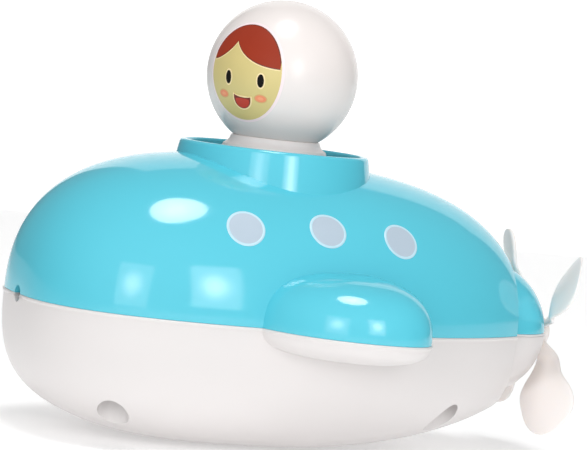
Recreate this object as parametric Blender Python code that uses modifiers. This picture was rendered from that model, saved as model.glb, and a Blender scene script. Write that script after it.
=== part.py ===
"""Toy submarine for the bath, with a doll passenger standing in its open cockpit.

The hull is two plastic shells that meet at a level seam and are screwed together from below. A clockwork
box in the stern drives a four-bladed propeller through the tail dome, and is wound by turning the propeller.
The passenger plugs onto a swivelling peg in the cockpit floor and lifts off it.

Frame: metres, +X is the bow, +Y is port, +Z is up, and the lowest point of the hull rests on Z = 0.
"""

import math

import bmesh
import bpy
from mathutils import Matrix, Vector

MM = 0.001
GAP = 0.3 * MM  # clearance between pieces that touch
WALL = 2.2 * MM

# Hull form. Each long profile is a superellipse forward of the widest station and another one aft of it.
SEAM_Z = 41.5 * MM
NOSE_X = 93.3 * MM
TRANSOM_X = -67.0 * MM
HALF_BEAM = 53.3 * MM
CROWN = 48.8 * MM  # hull height over the seam
DRAUGHT = 42.0 * MM  # hull depth under the seam, before its foot is cut flat
UPPER_SECTION, LOWER_SECTION = 2.14, 2.70  # exponents of the cross section
BEAM_LINE = {"bow": 2.73, "stern": 1.66, "widest_x": 1.9 * MM, "tail_x": -87.5 * MM}
CROWN_LINE = {"bow": 2.67, "stern": 2.75, "widest_x": 21.5 * MM, "tail_x": -76.0 * MM}
KEEL_LINE = {"bow": 3.25, "stern": 1.91, "widest_x": 12.0 * MM, "tail_x": -95.2 * MM}
BOW_STATIONS, STERN_STATIONS, HALF_SECTION = 9, 7, 10
NOSE_HOLE_R = 2.6 * MM

# Side fins: lobes with a swept outline, fuller above the seam than below it.
FIN_X, FIN_Y = 4.8 * MM, 50.0 * MM
FIN_BOW_CHORD, FIN_STERN_CHORD, FIN_SPAN = 29.0 * MM, 21.0 * MM, 28.0 * MM
FIN_RISE, FIN_DROP = 18.2 * MM, 8.3 * MM
FIN_SWEEP = 0.2
FIN_BOW, FIN_STERN, FIN_CROWN = 2.0, 2.2, 2.6  # exponents of the outline and of the section

# Tail dome and propeller shaft.
SHAFT_Z = SEAM_Z - 0.8 * MM
DOME_X, DOME_R, DOME_END_X = -67.6 * MM, 22.2 * MM, -87.9 * MM
SHAFT_R = 1.5 * MM
BUSH_X, BUSH_LENGTH, BUSH_R = -79.2 * MM, 8.4 * MM, 4.3 * MM

# Propeller: four teardrop blades of a left-handed screw, on stems that lean forward from the hub.
BLADES, BLADE_START = 4, math.radians(39)
HUB_X, HUB_LENGTH, HUB_R = -88.3 * MM, 4.6 * MM, 4.7 * MM
BLADE_TIP_R, BLADE_ROOT_R = 38.2 * MM, 3.0 * MM
BLADE_X, BLADE_LEAN, BLADE_RAKE = -91.0 * MM, 6.2 * MM, -2.1 * MM
LEAN_START, LEAN_END = 9.0 * MM, 22.5 * MM  # distances from the shaft
BLADE_HALF_WIDTH, BLADE_THICKNESS, BLADE_CUP = 10.4 * MM, 1.5 * MM, 1.6 * MM
BLADE_PITCH, BLADE_TWIST = math.radians(-26.7), math.radians(14.3)

# Cockpit and its coaming.
COCKPIT_X = 12.7 * MM
RIM_Z, RIM_R = SEAM_Z + 52.1 * MM, 30.3 * MM
COAMING_FOOT_Z, COAMING_FOOT_R = SEAM_Z + 34 * MM, 33.5 * MM
COCKPIT_R = 27.5 * MM
FLOOR_Z = RIM_Z - 24 * MM
PEG_R, PEG_TOP_Z = 4.0 * MM, FLOOR_Z + 14.5 * MM

# Passenger.
HEAD_R, HEAD_Z = 24.0 * MM, SEAM_Z + 74.9 * MM
NECK_R, NECK_HOLE_R = 13.9 * MM, 11.0 * MM
SKIRT_R, SKIRT_TOP_R = 19.8 * MM, 16.4 * MM

# Screws: the hull is closed from below, the rest are put in before it is closed.
WELL_PLACES = ((69.2 * MM, 29.5 * MM), (-40.0 * MM, 33.5 * MM))
WELL_R, WELL_WALL, WELL_CEILING = 5.0 * MM, 1.6 * MM, 3.8 * MM
POST_R = 4.2 * MM
SCREW_R, SCREW_HEAD_R, SCREW_HEAD = 1.4 * MM, 2.9 * MM, 2.0 * MM
LID_SCREW_R = 1.0 * MM

# Clockwork: a drum along X, with its three shafts across it. Y and Z here are from the propeller shaft.
CASE_REAR_X, CASE_FRONT_X = -39.5 * MM, -17.5 * MM
CASE_Y, CASE_Z = 0.0, -9.2 * MM
CASE_R, CASE_WALL = 23.2 * MM, 1.5 * MM
GEAR_MODULE, PRESSURE_ANGLE = 0.7 * MM, math.radians(22)
SPRING_TEETH, LAY_WHEEL_TEETH, PINION_TEETH = 36, 30, 10
SPRING_AXIS_ANGLE, SPRING_AXIS_DISTANCE = math.radians(243.7), 15.5 * MM
WHEEL_WIDTH = 3.6 * MM
LAY_SHAFT_R, ARBOR_R = 1.2 * MM, 2.0 * MM
MAINSPRING_TURNS, MAINSPRING_STRIP, MAINSPRING_WIDTH = 4, 0.45 * MM, 5.5 * MM

# Ballast bar under the cockpit.
BALLAST_X, BALLAST_Z = 36.0 * MM, SEAM_Z - 31.7 * MM
BALLAST_SIZE = (46 * MM, 30 * MM, 5 * MM)
BALLAST_SCREW_X = (BALLAST_X - 15 * MM, BALLAST_X + 15 * MM)

TURQUOISE = ("turquoise_plastic", (0.13, 0.60, 0.77), 0.16, 0.0)
WHITE = ("white_plastic", (0.86, 0.83, 0.81), 0.38, 0.0)
PASSENGER_WHITE = ("passenger_plastic", (0.90, 0.88, 0.87), 0.34, 0.0)
BEARING = ("bearing_plastic", (0.80, 0.79, 0.74), 0.40, 0.0)
GREY = ("case_plastic", (0.30, 0.32, 0.34), 0.45, 0.0)
GEAR = ("gear_plastic", (0.85, 0.72, 0.35), 0.40, 0.0)
RUBBER = ("seal_rubber", (0.05, 0.05, 0.05), 0.70, 0.0)
STEEL = ("steel", (0.56, 0.57, 0.58), 0.30, 1.0)
SPRING_STEEL = ("spring_steel", (0.30, 0.33, 0.40), 0.35, 1.0)

# Turns a shape made along local Z to lie along X, with local X along Y.
ALONG_X = Matrix(((0, 0, 1), (1, 0, 0), (0, 1, 0))).to_euler()
UPRIGHT = (0.0, 0.0, 0.0)


# ---------------------------------------------------------------- scene and helpers


def clear_scene():
    for obj in list(bpy.data.objects):
        bpy.data.objects.remove(obj)


def new_collection(name):
    collection = bpy.data.collections.new(name)
    bpy.context.scene.collection.children.link(collection)
    return collection


def finish_material(obj, finish):
    """Gives the object a material of its own from a (name, colour, roughness, metallic) finish."""
    name, colour, roughness, metallic = finish
    material = bpy.data.materials.new(f"{obj.name}_{name}")
    material.use_nodes = True
    shader = material.node_tree.nodes["Principled BSDF"]
    shader.inputs["Base Color"].default_value = (*colour, 1.0)
    shader.inputs["Roughness"].default_value = roughness
    shader.inputs["Metallic"].default_value = metallic
    obj.data.materials.append(material)


def add_object(name, data, finish=None, location=(0, 0, 0), rotation=UPRIGHT):
    """Links a part, or a hidden tool shape when it has no finish."""
    obj = bpy.data.objects.new(name, data)
    obj.location = location
    obj.rotation_euler = rotation
    if finish:
        PARTS.objects.link(obj)
        finish_material(obj, finish)
    else:
        TOOLS.objects.link(obj)
        obj.hide_render = True
        obj.display_type = "WIRE"
    return obj


def mesh_from(bm, name, sharp_degrees=35):
    bmesh.ops.recalc_face_normals(bm, faces=bm.faces)
    mesh = bpy.data.meshes.new(name)
    bm.to_mesh(mesh)
    bm.free()
    mesh.shade_smooth()
    mesh.set_sharp_from_angle(angle=math.radians(sharp_degrees))
    return mesh


def combine(target, tool, operation="DIFFERENCE"):
    modifier = target.modifiers.new(f"{operation.title()} {tool.name}", "BOOLEAN")
    modifier.object = tool
    modifier.operation = operation
    modifier.solver = "EXACT"
    return target


def cut(target, *tools):
    for tool in tools:
        combine(target, tool)
    return target


def join(target, *tools):
    for tool in tools:
        combine(target, tool, "UNION")
    return target


def box(name, low, high, finish=None, bevel=0.0):
    """A block between two corners."""
    low, high = Vector(low), Vector(high)
    bm = bmesh.new()
    bmesh.ops.create_cube(bm, size=1.0)
    bmesh.ops.scale(bm, vec=high - low, verts=bm.verts)
    obj = add_object(name, mesh_from(bm, name), finish, location=(low + high) / 2)
    if bevel:
        modifier = obj.modifiers.new("Rounded edges", "BEVEL")
        modifier.width = bevel
        modifier.segments = 2
    return obj


def cylinder(name, radius, start, end, centre, finish=None, rotation=UPRIGHT, steps=20):
    """A rod from start to end along its axis. centre gives the two other coordinates of that axis."""
    bm = bmesh.new()
    size = {"radius1": radius, "radius2": radius, "depth": end - start}
    bmesh.ops.create_cone(bm, cap_ends=True, segments=steps, **size)
    middle = (start + end) / 2
    location = (*centre, middle) if rotation == UPRIGHT else (middle, *centre)
    return add_object(name, mesh_from(bm, name), finish, location, rotation)


def turned(name, profile, centre, finish=None, rotation=UPRIGHT, steps=24, ring=False):
    """A turned piece. Its profile is (radius, height) down the outer side, and back up a ring's bore."""
    bm = bmesh.new()
    points = [bm.verts.new((radius, 0, height)) for radius, height in profile]
    for first, second in zip(points, points[1:]):
        bm.edges.new((first, second))
    if ring:
        bm.edges.new((points[-1], points[0]))
    mesh = bpy.data.meshes.new(name)
    bm.to_mesh(mesh)
    bm.free()
    location = (*centre, 0) if rotation == UPRIGHT else (0, *centre)
    obj = add_object(name, mesh, finish, location, rotation)
    screw = obj.modifiers.new("Turn", "SCREW")
    screw.steps = screw.render_steps = steps
    screw.use_merge_vertices = True
    screw.merge_threshold = 0.00001
    screw.use_smooth_shade = True
    return obj


def arc(centre, radius, start_degrees, end_degrees, count):
    """Points on a circle, as (radius, height) pairs of a turned profile."""
    sweep = end_degrees - start_degrees
    steps = [math.radians(start_degrees + sweep * i / count) for i in range(count + 1)]
    return [(centre[0] + radius * math.cos(a), centre[1] + radius * math.sin(a)) for a in steps]


def plate(name, outlines, thickness, centre, finish, start):
    """A flat piece across X, from its outline and the outlines of its holes."""
    curve = bpy.data.curves.new(name, "CURVE")
    curve.dimensions = "2D"
    curve.fill_mode = "BOTH"
    curve.extrude = thickness / 2
    for outline in outlines:
        spline = curve.splines.new("POLY")
        spline.points.add(len(outline) - 1)
        for point, (y, z) in zip(spline.points, outline):
            point.co = (y, z, 0, 1)
        spline.use_cyclic_u = True
    return add_object(name, curve, finish, (start + thickness / 2, *centre), ALONG_X)


def bore_along_x(name, radius, start, end, centre, steps):
    """A cylinder along X, to join or to cut with."""
    return cylinder(name, radius, start, end, centre, rotation=ALONG_X, steps=steps)


def screw_hole(name, start, end, centre):
    """An upright hole that one of the larger screws passes with clearance."""
    return cylinder(name, SCREW_R + GAP, start, end, centre, steps=12)


def circle(radius, count):
    turns = [math.tau * i / count for i in range(count)]
    return [(radius * math.cos(a), radius * math.sin(a)) for a in turns]


# ---------------------------------------------------------------- hull


def superellipse(u, exponent):
    return max(0.0, 1 - abs(u) ** exponent) ** (1 / exponent)


def line_height(x, height, line, inset):
    """Height of one long profile at x, for a shell surface lying inset inside the outer one."""
    widest, nose, tail = line["widest_x"], NOSE_X - inset, line["tail_x"] + inset
    if x >= widest:
        return (height - inset) * superellipse((x - widest) / (nose - widest), line["bow"])
    return (height - inset) * superellipse((widest - x) / (widest - tail), line["stern"])


def hull_section(x, inset, count):
    """Points round the hull at x, starting on the port seam and turning up over the crown."""
    beam = line_height(x, HALF_BEAM, BEAM_LINE, inset)
    crown = line_height(x, CROWN, CROWN_LINE, inset)
    keel = line_height(x, DRAUGHT, KEEL_LINE, inset)
    points = []
    for i in range(2 * count):
        angle = math.pi * i / count
        above = i < count
        power = 2 / (UPPER_SECTION if above else LOWER_SECTION)
        across = math.copysign(abs(math.cos(angle)) ** power, math.cos(angle))
        rise = abs(math.sin(angle)) ** power * (crown if above else -keel)
        points.append((x, beam * across, SEAM_Z + rise))
    return points


def hull_form(name, inset=0.0, bow=BOW_STATIONS, stern=STERN_STATIONS, half=HALF_SECTION):
    """The closed egg shape of the hull, cut off flat at the transom."""
    nose, transom, middle = NOSE_X - inset, TRANSOM_X + inset, KEEL_LINE["widest_x"]
    stations = [transom + (middle - transom) * i / stern for i in range(stern)]
    stations += [middle + (nose - middle) * math.sin(math.pi / 2 * i / bow) for i in range(bow)]
    bm = bmesh.new()
    rings = [[bm.verts.new(point) for point in hull_section(x, inset, half)] for x in stations]
    for ring, following in zip(rings, rings[1:]):
        for i in range(2 * half):
            k = (i + 1) % (2 * half)
            bm.faces.new((ring[i], ring[k], following[k], following[i]))
    tip = bm.verts.new((nose, 0, SEAM_Z))
    for i in range(2 * half):
        bm.faces.new((rings[-1][i], rings[-1][(i + 1) % (2 * half)], tip))
    bm.faces.new(rings[0])
    return add_object(name, mesh_from(bm, name))


def fin_form(name, side, inset=0.0, around=18, rings=4):
    """One fin: a lobe on a swept superellipse outline. side is 1 for port and -1 for starboard."""
    span = FIN_SPAN - inset
    bm = bmesh.new()
    levels = []
    for level in range(-rings + 1, rings):
        tilt = math.pi / 2 * abs(level) / rings
        spread = math.cos(tilt) ** (2 / FIN_CROWN)
        height = (FIN_RISE if level > 0 else -FIN_DROP) - math.copysign(inset, level)
        rise = math.sin(tilt) ** (2 / FIN_CROWN) * height
        points = []
        for i in range(around):
            angle = math.tau * i / around
            forward = math.cos(angle) > 0
            chord, exponent = (FIN_BOW_CHORD, FIN_BOW) if forward else (FIN_STERN_CHORD, FIN_STERN)
            power = 2 / exponent
            along = math.copysign(abs(math.cos(angle)) ** power, math.cos(angle)) * (chord - inset) * spread
            out = math.copysign(abs(math.sin(angle)) ** power, math.sin(angle)) * span * spread
            place = (FIN_X + along - FIN_SWEEP * out, side * (FIN_Y + out), SEAM_Z + rise)
            points.append(bm.verts.new(place))
        levels.append(points)
    for lower, upper in zip(levels, levels[1:]):
        for i in range(around):
            k = (i + 1) % around
            bm.faces.new((lower[i], lower[k], upper[k], upper[i]))
    for points, peak in ((levels[0], -FIN_DROP + inset), (levels[-1], FIN_RISE - inset)):
        top = bm.verts.new((FIN_X, side * FIN_Y, SEAM_Z + peak))
        for i in range(around):
            bm.faces.new((points[i], points[(i + 1) % around], top))
    return add_object(name, mesh_from(bm, name))


def dome_form(name, radius, end, steps=24):
    """The tail dome, a ball with a flat end where the shaft comes out."""
    flat_angle = math.degrees(math.asin((DOME_X - end) / radius))
    profile = arc((0, DOME_X), radius, 90, -flat_angle, 9) + [(0, end)]
    return turned(name, profile, (0, SHAFT_Z), rotation=ALONG_X, steps=steps)


def hull_outside():
    """The whole outer shape, both halves together."""
    coaming_profile = [
        (0, RIM_Z),
        (RIM_R - 1.2 * MM, RIM_Z),
        (RIM_R, RIM_Z - 1.0 * MM),
        (COAMING_FOOT_R, COAMING_FOOT_Z),
        (0, COAMING_FOOT_Z),
    ]
    outside = hull_form("hull_outside")
    return join(
        outside,
        turned("coaming_form", coaming_profile, (COCKPIT_X, 0), steps=32),
        dome_form("dome_form", DOME_R, DOME_END_X),
        fin_form("port_fin_form", 1),
        fin_form("starboard_fin_form", -1),
    )


def hull_inside():
    """The space inside the shells, less what stands in it: cockpit tub, posts, pads and bearing block."""
    inside = hull_form("hull_inside", inset=WALL, bow=7, stern=5, half=7)
    join(
        inside,
        dome_form("dome_inside", DOME_R - WALL, DOME_END_X + WALL, steps=16),
        fin_form("port_fin_inside", 1, WALL, around=12, rings=3),
        fin_form("starboard_fin_inside", -1, WALL, around=12, rings=3),
        bore_along_x("nose_hole", NOSE_HOLE_R, NOSE_X - 8 * MM, NOSE_X + 5 * MM, (0, SEAM_Z), 20),
    )
    cut(
        inside,
        cylinder("cockpit_tub", COCKPIT_R + WALL, FLOOR_Z - WALL, RIM_Z + WALL, (COCKPIT_X, 0), steps=32),
        bore_along_x("bearing_block", 7.6 * MM, DOME_END_X - WALL, BUSH_X - GAP, (0, SHAFT_Z), 24),
    )
    for number, (x, y) in enumerate(well_places(), 1):
        cut(
            inside,
            cylinder(f"post_{number}", POST_R, SEAM_Z + GAP, SEAM_Z + CROWN, (x, y), steps=12),
            cylinder(f"well_tube_{number}", WELL_R + WELL_WALL, -GAP, SEAM_Z, (x, y), steps=14),
        )
    for number, x in enumerate(BALLAST_SCREW_X, 1):
        top = BALLAST_Z - BALLAST_SIZE[2] / 2 - GAP
        cut(inside, cylinder(f"ballast_pad_{number}", 4.5 * MM, -GAP, top, (x, 0), steps=14))
    for number, (x, y) in enumerate(case_screw_places(), 1):
        cut(inside, cylinder(f"case_post_{number}", 3.4 * MM, -GAP, LUG_Z - GAP, (x, y), steps=14))
    return inside


def well_places():
    return [(x, side * y) for x, y in WELL_PLACES for side in (1, -1)]


def case_screw_places():
    return [(LUG_X, CASE_Y + side * 28.5 * MM) for side in (1, -1)]


def upper_hull(outside, inside):
    shell = box("upper_hull", (-0.12, -0.1, SEAM_Z + GAP / 2), (0.12, 0.1, 0.15), TURQUOISE)
    combine(shell, outside, "INTERSECT")
    cut(
        shell,
        inside,
        turned(
            "cockpit_space",
            [(0, RIM_Z + WALL), (COCKPIT_R + 0.4 * MM, RIM_Z + WALL), (COCKPIT_R, RIM_Z - WALL)]
            + arc((COCKPIT_R - 3 * MM, FLOOR_Z + 3 * MM), 3 * MM, 0, -90, 3)
            + [(0, FLOOR_Z)],
            (COCKPIT_X, 0),
            steps=32,
        ),
        cylinder("peg_hole", 3.0 * MM + GAP, FLOOR_Z - 2 * WALL, FLOOR_Z + WALL, (COCKPIT_X, 0)),
        BUSH_HOLE,
    )
    for number, place in enumerate(well_places(), 1):
        cut(shell, screw_hole(f"post_pilot_{number}", SEAM_Z - WALL, SEAM_Z + 10 * MM, place))
    return shell


def lower_hull(outside, inside):
    shell = box("lower_hull", (-0.12, -0.1, 0), (0.12, 0.1, SEAM_Z - GAP / 2), WHITE)
    combine(shell, outside, "INTERSECT")
    cut(shell, inside, BUSH_HOLE)
    for number, place in enumerate(well_places(), 1):
        cut(
            shell,
            cylinder(f"well_{number}", WELL_R, -GAP, SEAM_Z - WELL_CEILING, place, steps=14),
            screw_hole(f"well_screw_hole_{number}", -GAP, SEAM_Z + WALL, place),
        )
    for number, x in enumerate(BALLAST_SCREW_X, 1):
        cut(shell, screw_hole(f"ballast_pilot_{number}", 2.2 * MM, BALLAST_Z, (x, 0)))
    for number, place in enumerate(case_screw_places(), 1):
        cut(shell, screw_hole(f"case_pilot_{number}", LUG_Z - 9 * MM, LUG_Z + WALL, place))
    return shell


# ---------------------------------------------------------------- screws


def cross_recess(name, centre, height):
    """The recess of a cross-head screw, as a plus-shaped cutter standing on height."""
    arm, half_slot = 1.5 * MM, 0.35 * MM
    corners = [(arm, half_slot), (half_slot, half_slot), (half_slot, arm)]
    outline = []
    for turn in range(4):
        c, s = round(math.cos(turn * math.pi / 2)), round(math.sin(turn * math.pi / 2))
        outline += [(c * x - s * y, s * x + c * y) for x, y in corners]
    bm = bmesh.new()
    face = bm.faces.new([bm.verts.new((x, y, 0)) for x, y in outline])
    side = bmesh.ops.extrude_face_region(bm, geom=[face])
    lifted = [item for item in side["geom"] if isinstance(item, bmesh.types.BMVert)]
    bmesh.ops.translate(bm, vec=(0, 0, 1.2 * MM), verts=lifted)
    return add_object(name, mesh_from(bm, name), None, (*centre, height))


def screw(name, centre, seat, length, points_up, finish=STEEL):
    """A pan-head screw along Z. seat is the height of the face that its head bears on."""
    head = [(0, SCREW_HEAD), (SCREW_HEAD_R * 0.62, SCREW_HEAD)]
    head += [(SCREW_HEAD_R, SCREW_HEAD * 0.45), (SCREW_HEAD_R, 0)]
    shank = [(SCREW_R, 0), (SCREW_R, 1.6 * MM - length), (0, -length)]
    obj = turned(name, head + shank, centre, finish, steps=10)
    obj.location.z = seat
    recess = cross_recess(f"{name}_recess", (0, 0), SCREW_HEAD - 0.7 * MM)
    recess.parent = obj
    if points_up:
        obj.rotation_euler = (math.pi, 0, 0)
    return cut(obj, recess)


# ---------------------------------------------------------------- clockwork


def spring_axis():
    return (
        SPRING_AXIS_DISTANCE * math.cos(SPRING_AXIS_ANGLE),
        SPRING_AXIS_DISTANCE * math.sin(SPRING_AXIS_ANGLE),
    )


def mesh_distance(teeth, other_teeth):
    return GEAR_MODULE * (teeth + other_teeth) / 2


def lay_axis():
    """The layshaft meshes with the propeller pinion and with the spring wheel, so two distances place it."""
    to_propeller = mesh_distance(LAY_WHEEL_TEETH, PINION_TEETH)
    to_spring = mesh_distance(SPRING_TEETH, PINION_TEETH)
    span = SPRING_AXIS_DISTANCE
    along = (to_propeller**2 - to_spring**2 + span**2) / (2 * span)
    aside = math.sqrt(to_propeller**2 - along**2)
    y, z = (value / span for value in spring_axis())
    return (along * y - aside * z, along * z + aside * y)


def gear_outline(teeth, phase):
    """Involute teeth, thinned for backlash. phase is the direction of one tooth's middle."""
    pitch_r = GEAR_MODULE * teeth / 2
    base_r = pitch_r * math.cos(PRESSURE_ANGLE)
    root_r, tip_r = pitch_r - 1.2 * GEAR_MODULE, pitch_r + 0.85 * GEAR_MODULE
    start_r = max(root_r, base_r)
    half_tooth = math.pi / (2 * teeth) - 0.13 * MM / pitch_r

    def involute(radius):
        angle = math.acos(min(1.0, base_r / radius))
        return math.tan(angle) - angle

    flank = []
    for step in (0.0, 1.0):
        radius = start_r + (tip_r - start_r) * step
        flank.append((radius, half_tooth + involute(pitch_r) - involute(radius)))
    flank.insert(0, (root_r, flank[0][1]))
    outline = []
    for tooth in range(teeth):
        middle = phase + math.tau * tooth / teeth
        for radius, offset in flank:
            outline.append((radius * math.cos(middle - offset), radius * math.sin(middle - offset)))
        for radius, offset in reversed(flank):
            outline.append((radius * math.cos(middle + offset), radius * math.sin(middle + offset)))
    return outline


def direction(origin, target):
    return math.atan2(target[1] - origin[1], target[0] - origin[0])


def in_gap(origin, target, teeth):
    """A phase that puts a gap between two teeth towards the target."""
    return direction(origin, target) + math.pi / teeth


def on_shaft(axis):
    return (axis[0], SHAFT_Z + axis[1])


def clockwork():
    propeller, spring, lay = (0.0, 0.0), spring_axis(), lay_axis()
    inner_rear = CASE_REAR_X + CASE_WALL + 1.0 * MM
    front = CASE_FRONT_X
    wheel_x = inner_rear + 0.6 * MM
    spring_x = wheel_x + WHEEL_WIDTH + 0.8 * MM

    def wheel(name, teeth, axis, phase, start, bore):
        outlines = [gear_outline(teeth, phase), circle(bore + GAP, 16)]
        return plate(name, outlines, WHEEL_WIDTH, on_shaft(axis), GEAR, start)

    wheel("lay_wheel", LAY_WHEEL_TEETH, lay, direction(lay, propeller), wheel_x, LAY_SHAFT_R)
    wheel("propeller_pinion", PINION_TEETH, propeller, in_gap(propeller, lay, PINION_TEETH), wheel_x, SHAFT_R)
    wheel("spring_wheel", SPRING_TEETH, spring, direction(spring, lay), spring_x, ARBOR_R)
    wheel("lay_pinion", PINION_TEETH, lay, in_gap(lay, spring, PINION_TEETH), spring_x, LAY_SHAFT_R)
    shafts = (("lay_shaft", LAY_SHAFT_R, lay), ("spring_arbor", ARBOR_R, spring))
    for name, radius, axis in shafts:
        ends = (CASE_REAR_X + 1.3 * MM, front - 1.0 * MM)
        cylinder(name, radius, *ends, on_shaft(axis), STEEL, ALONG_X, steps=16)
    mainspring(spring, spring_x + WHEEL_WIDTH + 0.8 * MM)
    clockwork_case(spring, lay)
    clockwork_lid(spring, lay)


def mainspring(axis, start):
    """A flat strip wound in a spiral round the arbor."""
    count = MAINSPRING_TURNS * 12
    inner, outer = ARBOR_R + GAP + 0.2 * MM, 11.5 * MM

    def turn(i, offset):
        angle = math.tau * MAINSPRING_TURNS * i / count
        radius = inner + (outer - inner) * i / count + offset
        return (radius * math.cos(angle), radius * math.sin(angle))

    outline = [turn(i, 0) for i in range(count + 1)]
    outline += [turn(i, MAINSPRING_STRIP) for i in range(count, -1, -1)]
    plate("mainspring", [outline], MAINSPRING_WIDTH, on_shaft(axis), SPRING_STEEL, start)


def bearing_pockets(prefix, axes, start, end):
    """Blind holes for the shafts' ends in a wall across X."""
    return [
        cylinder(f"{prefix}_{name}", radius + GAP, start, end, on_shaft(axis), rotation=ALONG_X, steps=16)
        for name, radius, axis in axes
    ]


def clockwork_case(spring, lay):
    """The drum, closed at its rear, with a lug on each side and three bosses for its lid's screws."""
    centre = (CASE_Y, SHAFT_Z + CASE_Z)
    lid_seat = CASE_FRONT_X - 3.0 * MM
    profile = [
        (0, lid_seat),
        (CASE_R, lid_seat),
        (CASE_R, CASE_REAR_X + 1.5 * MM),
        (CASE_R - 1.5 * MM, CASE_REAR_X),
        (0, CASE_REAR_X),
    ]
    case = turned("clockwork_case", profile, centre, GREY, ALONG_X, steps=28)
    for number, (x, y) in enumerate(case_screw_places(), 1):
        reach = (min(y, CASE_Y) - 3.6 * MM, max(y, CASE_Y) + 3.6 * MM)
        low, high = (x - 4 * MM, reach[0], LUG_Z), (x + 4 * MM, reach[1], LUG_Z + 3 * MM)
        join(case, box(f"lug_{number}", low, high))
    for number, place in enumerate(lid_screw_places(), 1):
        join(case, bore_along_x(f"lid_boss_{number}", 3.2 * MM, lid_seat - 8 * MM, lid_seat, place, 14))
    line = (0, SHAFT_Z)
    join(case, bore_along_x("seal_housing", 5.6 * MM, CASE_REAR_X - 3.6 * MM, CASE_REAR_X + MM, line, 24))
    cut(
        case,
        bore_along_x("case_space", CASE_R - CASE_WALL, CASE_REAR_X + CASE_WALL + MM, 0, centre, 28),
        bore_along_x("seal_seat", 4.0 * MM, CASE_REAR_X - 5 * MM, CASE_REAR_X, line, 24),
        bore_along_x("case_shaft_hole", SHAFT_R + GAP, CASE_REAR_X - MM, 0, line, 16),
    )
    axes = (("lay", LAY_SHAFT_R, lay), ("arbor", ARBOR_R, spring))
    cut(case, *bearing_pockets("case_pocket", axes, CASE_REAR_X + MM, 0))
    for number, place in enumerate(case_screw_places(), 1):
        cut(case, screw_hole(f"lug_hole_{number}", LUG_Z - WALL, LUG_Z + 2 * WALL, place))
    for number, place in enumerate(lid_screw_places(), 1):
        hole_r = LID_SCREW_R + GAP
        cut(case, bore_along_x(f"lid_pilot_{number}", hole_r, lid_seat - 6.5 * MM, lid_seat + MM, place, 12))


def lid_screw_places():
    """Round the drum's rim, clear of the lugs."""
    reach = CASE_R + 1.6 * MM
    return [
        (CASE_Y + reach * math.cos(angle), SHAFT_Z + CASE_Z + reach * math.sin(angle))
        for angle in (math.radians(degrees) for degrees in (90, 215, 325))
    ]


def clockwork_lid(spring, lay):
    centre = (CASE_Y, SHAFT_Z + CASE_Z)
    rear = CASE_FRONT_X - 3.0 * MM + 1.4 * MM
    front = rear + 2.6 * MM
    lid = cylinder("clockwork_lid", CASE_R, rear, front, centre, GREY, ALONG_X, steps=28)
    for number, place in enumerate(lid_screw_places(), 1):
        join(lid, bore_along_x(f"lid_ear_{number}", 3.2 * MM, rear, front, place, 14))
        cut(lid, bore_along_x(f"lid_hole_{number}", LID_SCREW_R + GAP, rear - MM, front + MM, place, 12))
        lid_screw(number, place, front)
    axes = (("lay", LAY_SHAFT_R, lay), ("arbor", ARBOR_R, spring), ("shaft", SHAFT_R, (0.0, 0.0)))
    cut(lid, *bearing_pockets("lid_pocket", axes, rear - MM, rear + 1.3 * MM))
    inner = CASE_R - CASE_WALL + 0.2 * MM
    seal = [(CASE_R - GAP, rear - GAP), (CASE_R - GAP, rear - 1.1 * MM)]
    seal += [(inner, rear - 1.1 * MM), (inner, rear - GAP)]
    turned("lid_seal", seal, centre, RUBBER, ALONG_X, steps=24, ring=True)


def lid_screw(number, place, seat):
    """A small pan-head screw along X, its head against the lid."""
    head = [(0, 1.4 * MM), (1.1 * MM, 1.4 * MM), (2.0 * MM, 0.6 * MM), (2.0 * MM, 0)]
    profile = head + [(LID_SCREW_R, 0), (LID_SCREW_R, -8.4 * MM), (0, -9.2 * MM)]
    obj = turned(f"lid_screw_{number}", profile, place, STEEL, ALONG_X, steps=12)
    obj.location.x = seat + GAP
    slot = box(f"lid_screw_slot_{number}", (-3 * MM, -0.3 * MM, 0.8 * MM), (3 * MM, 0.3 * MM, 2 * MM))
    slot.parent = obj
    cut(obj, slot)


# ---------------------------------------------------------------- propeller line


def propeller_line():
    centre = (0, SHAFT_Z)
    shaft_ends = (HUB_X - HUB_LENGTH + 1.4 * MM, CASE_FRONT_X - 1.0 * MM)
    cylinder("propeller_shaft", SHAFT_R, *shaft_ends, centre, STEEL, ALONG_X, steps=20)
    bush_end = BUSH_X - BUSH_LENGTH
    bush = [
        (BUSH_R + 1.9 * MM, BUSH_X + 1.6 * MM),
        (BUSH_R + 1.9 * MM, BUSH_X),
        (BUSH_R, BUSH_X),
        (BUSH_R, bush_end),
        (SHAFT_R + GAP, bush_end),
        (SHAFT_R + GAP, BUSH_X + 1.6 * MM),
    ]
    turned("stern_bush", bush, centre, BEARING, ALONG_X, steps=20, ring=True)
    seal_middle = CASE_REAR_X - 1.9 * MM
    ring_r = (3.7 * MM - SHAFT_R - GAP) / 2
    seal = arc((SHAFT_R + GAP + ring_r, seal_middle), ring_r, 90, -210, 5)
    turned("shaft_seal", seal, centre, RUBBER, ALONG_X, steps=14, ring=True)
    propeller()
    cap_r = 2.7 * MM
    hub_end = HUB_X - HUB_LENGTH
    cap = [(0, hub_end + 0.9 * MM), (cap_r, hub_end + 0.9 * MM), (cap_r, hub_end)]
    cap += [(cap_r * 0.6, hub_end - 0.3 * MM), (0, hub_end - 0.4 * MM)]
    turned("propeller_cap", cap, centre, WHITE, ALONG_X, steps=16)


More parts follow.
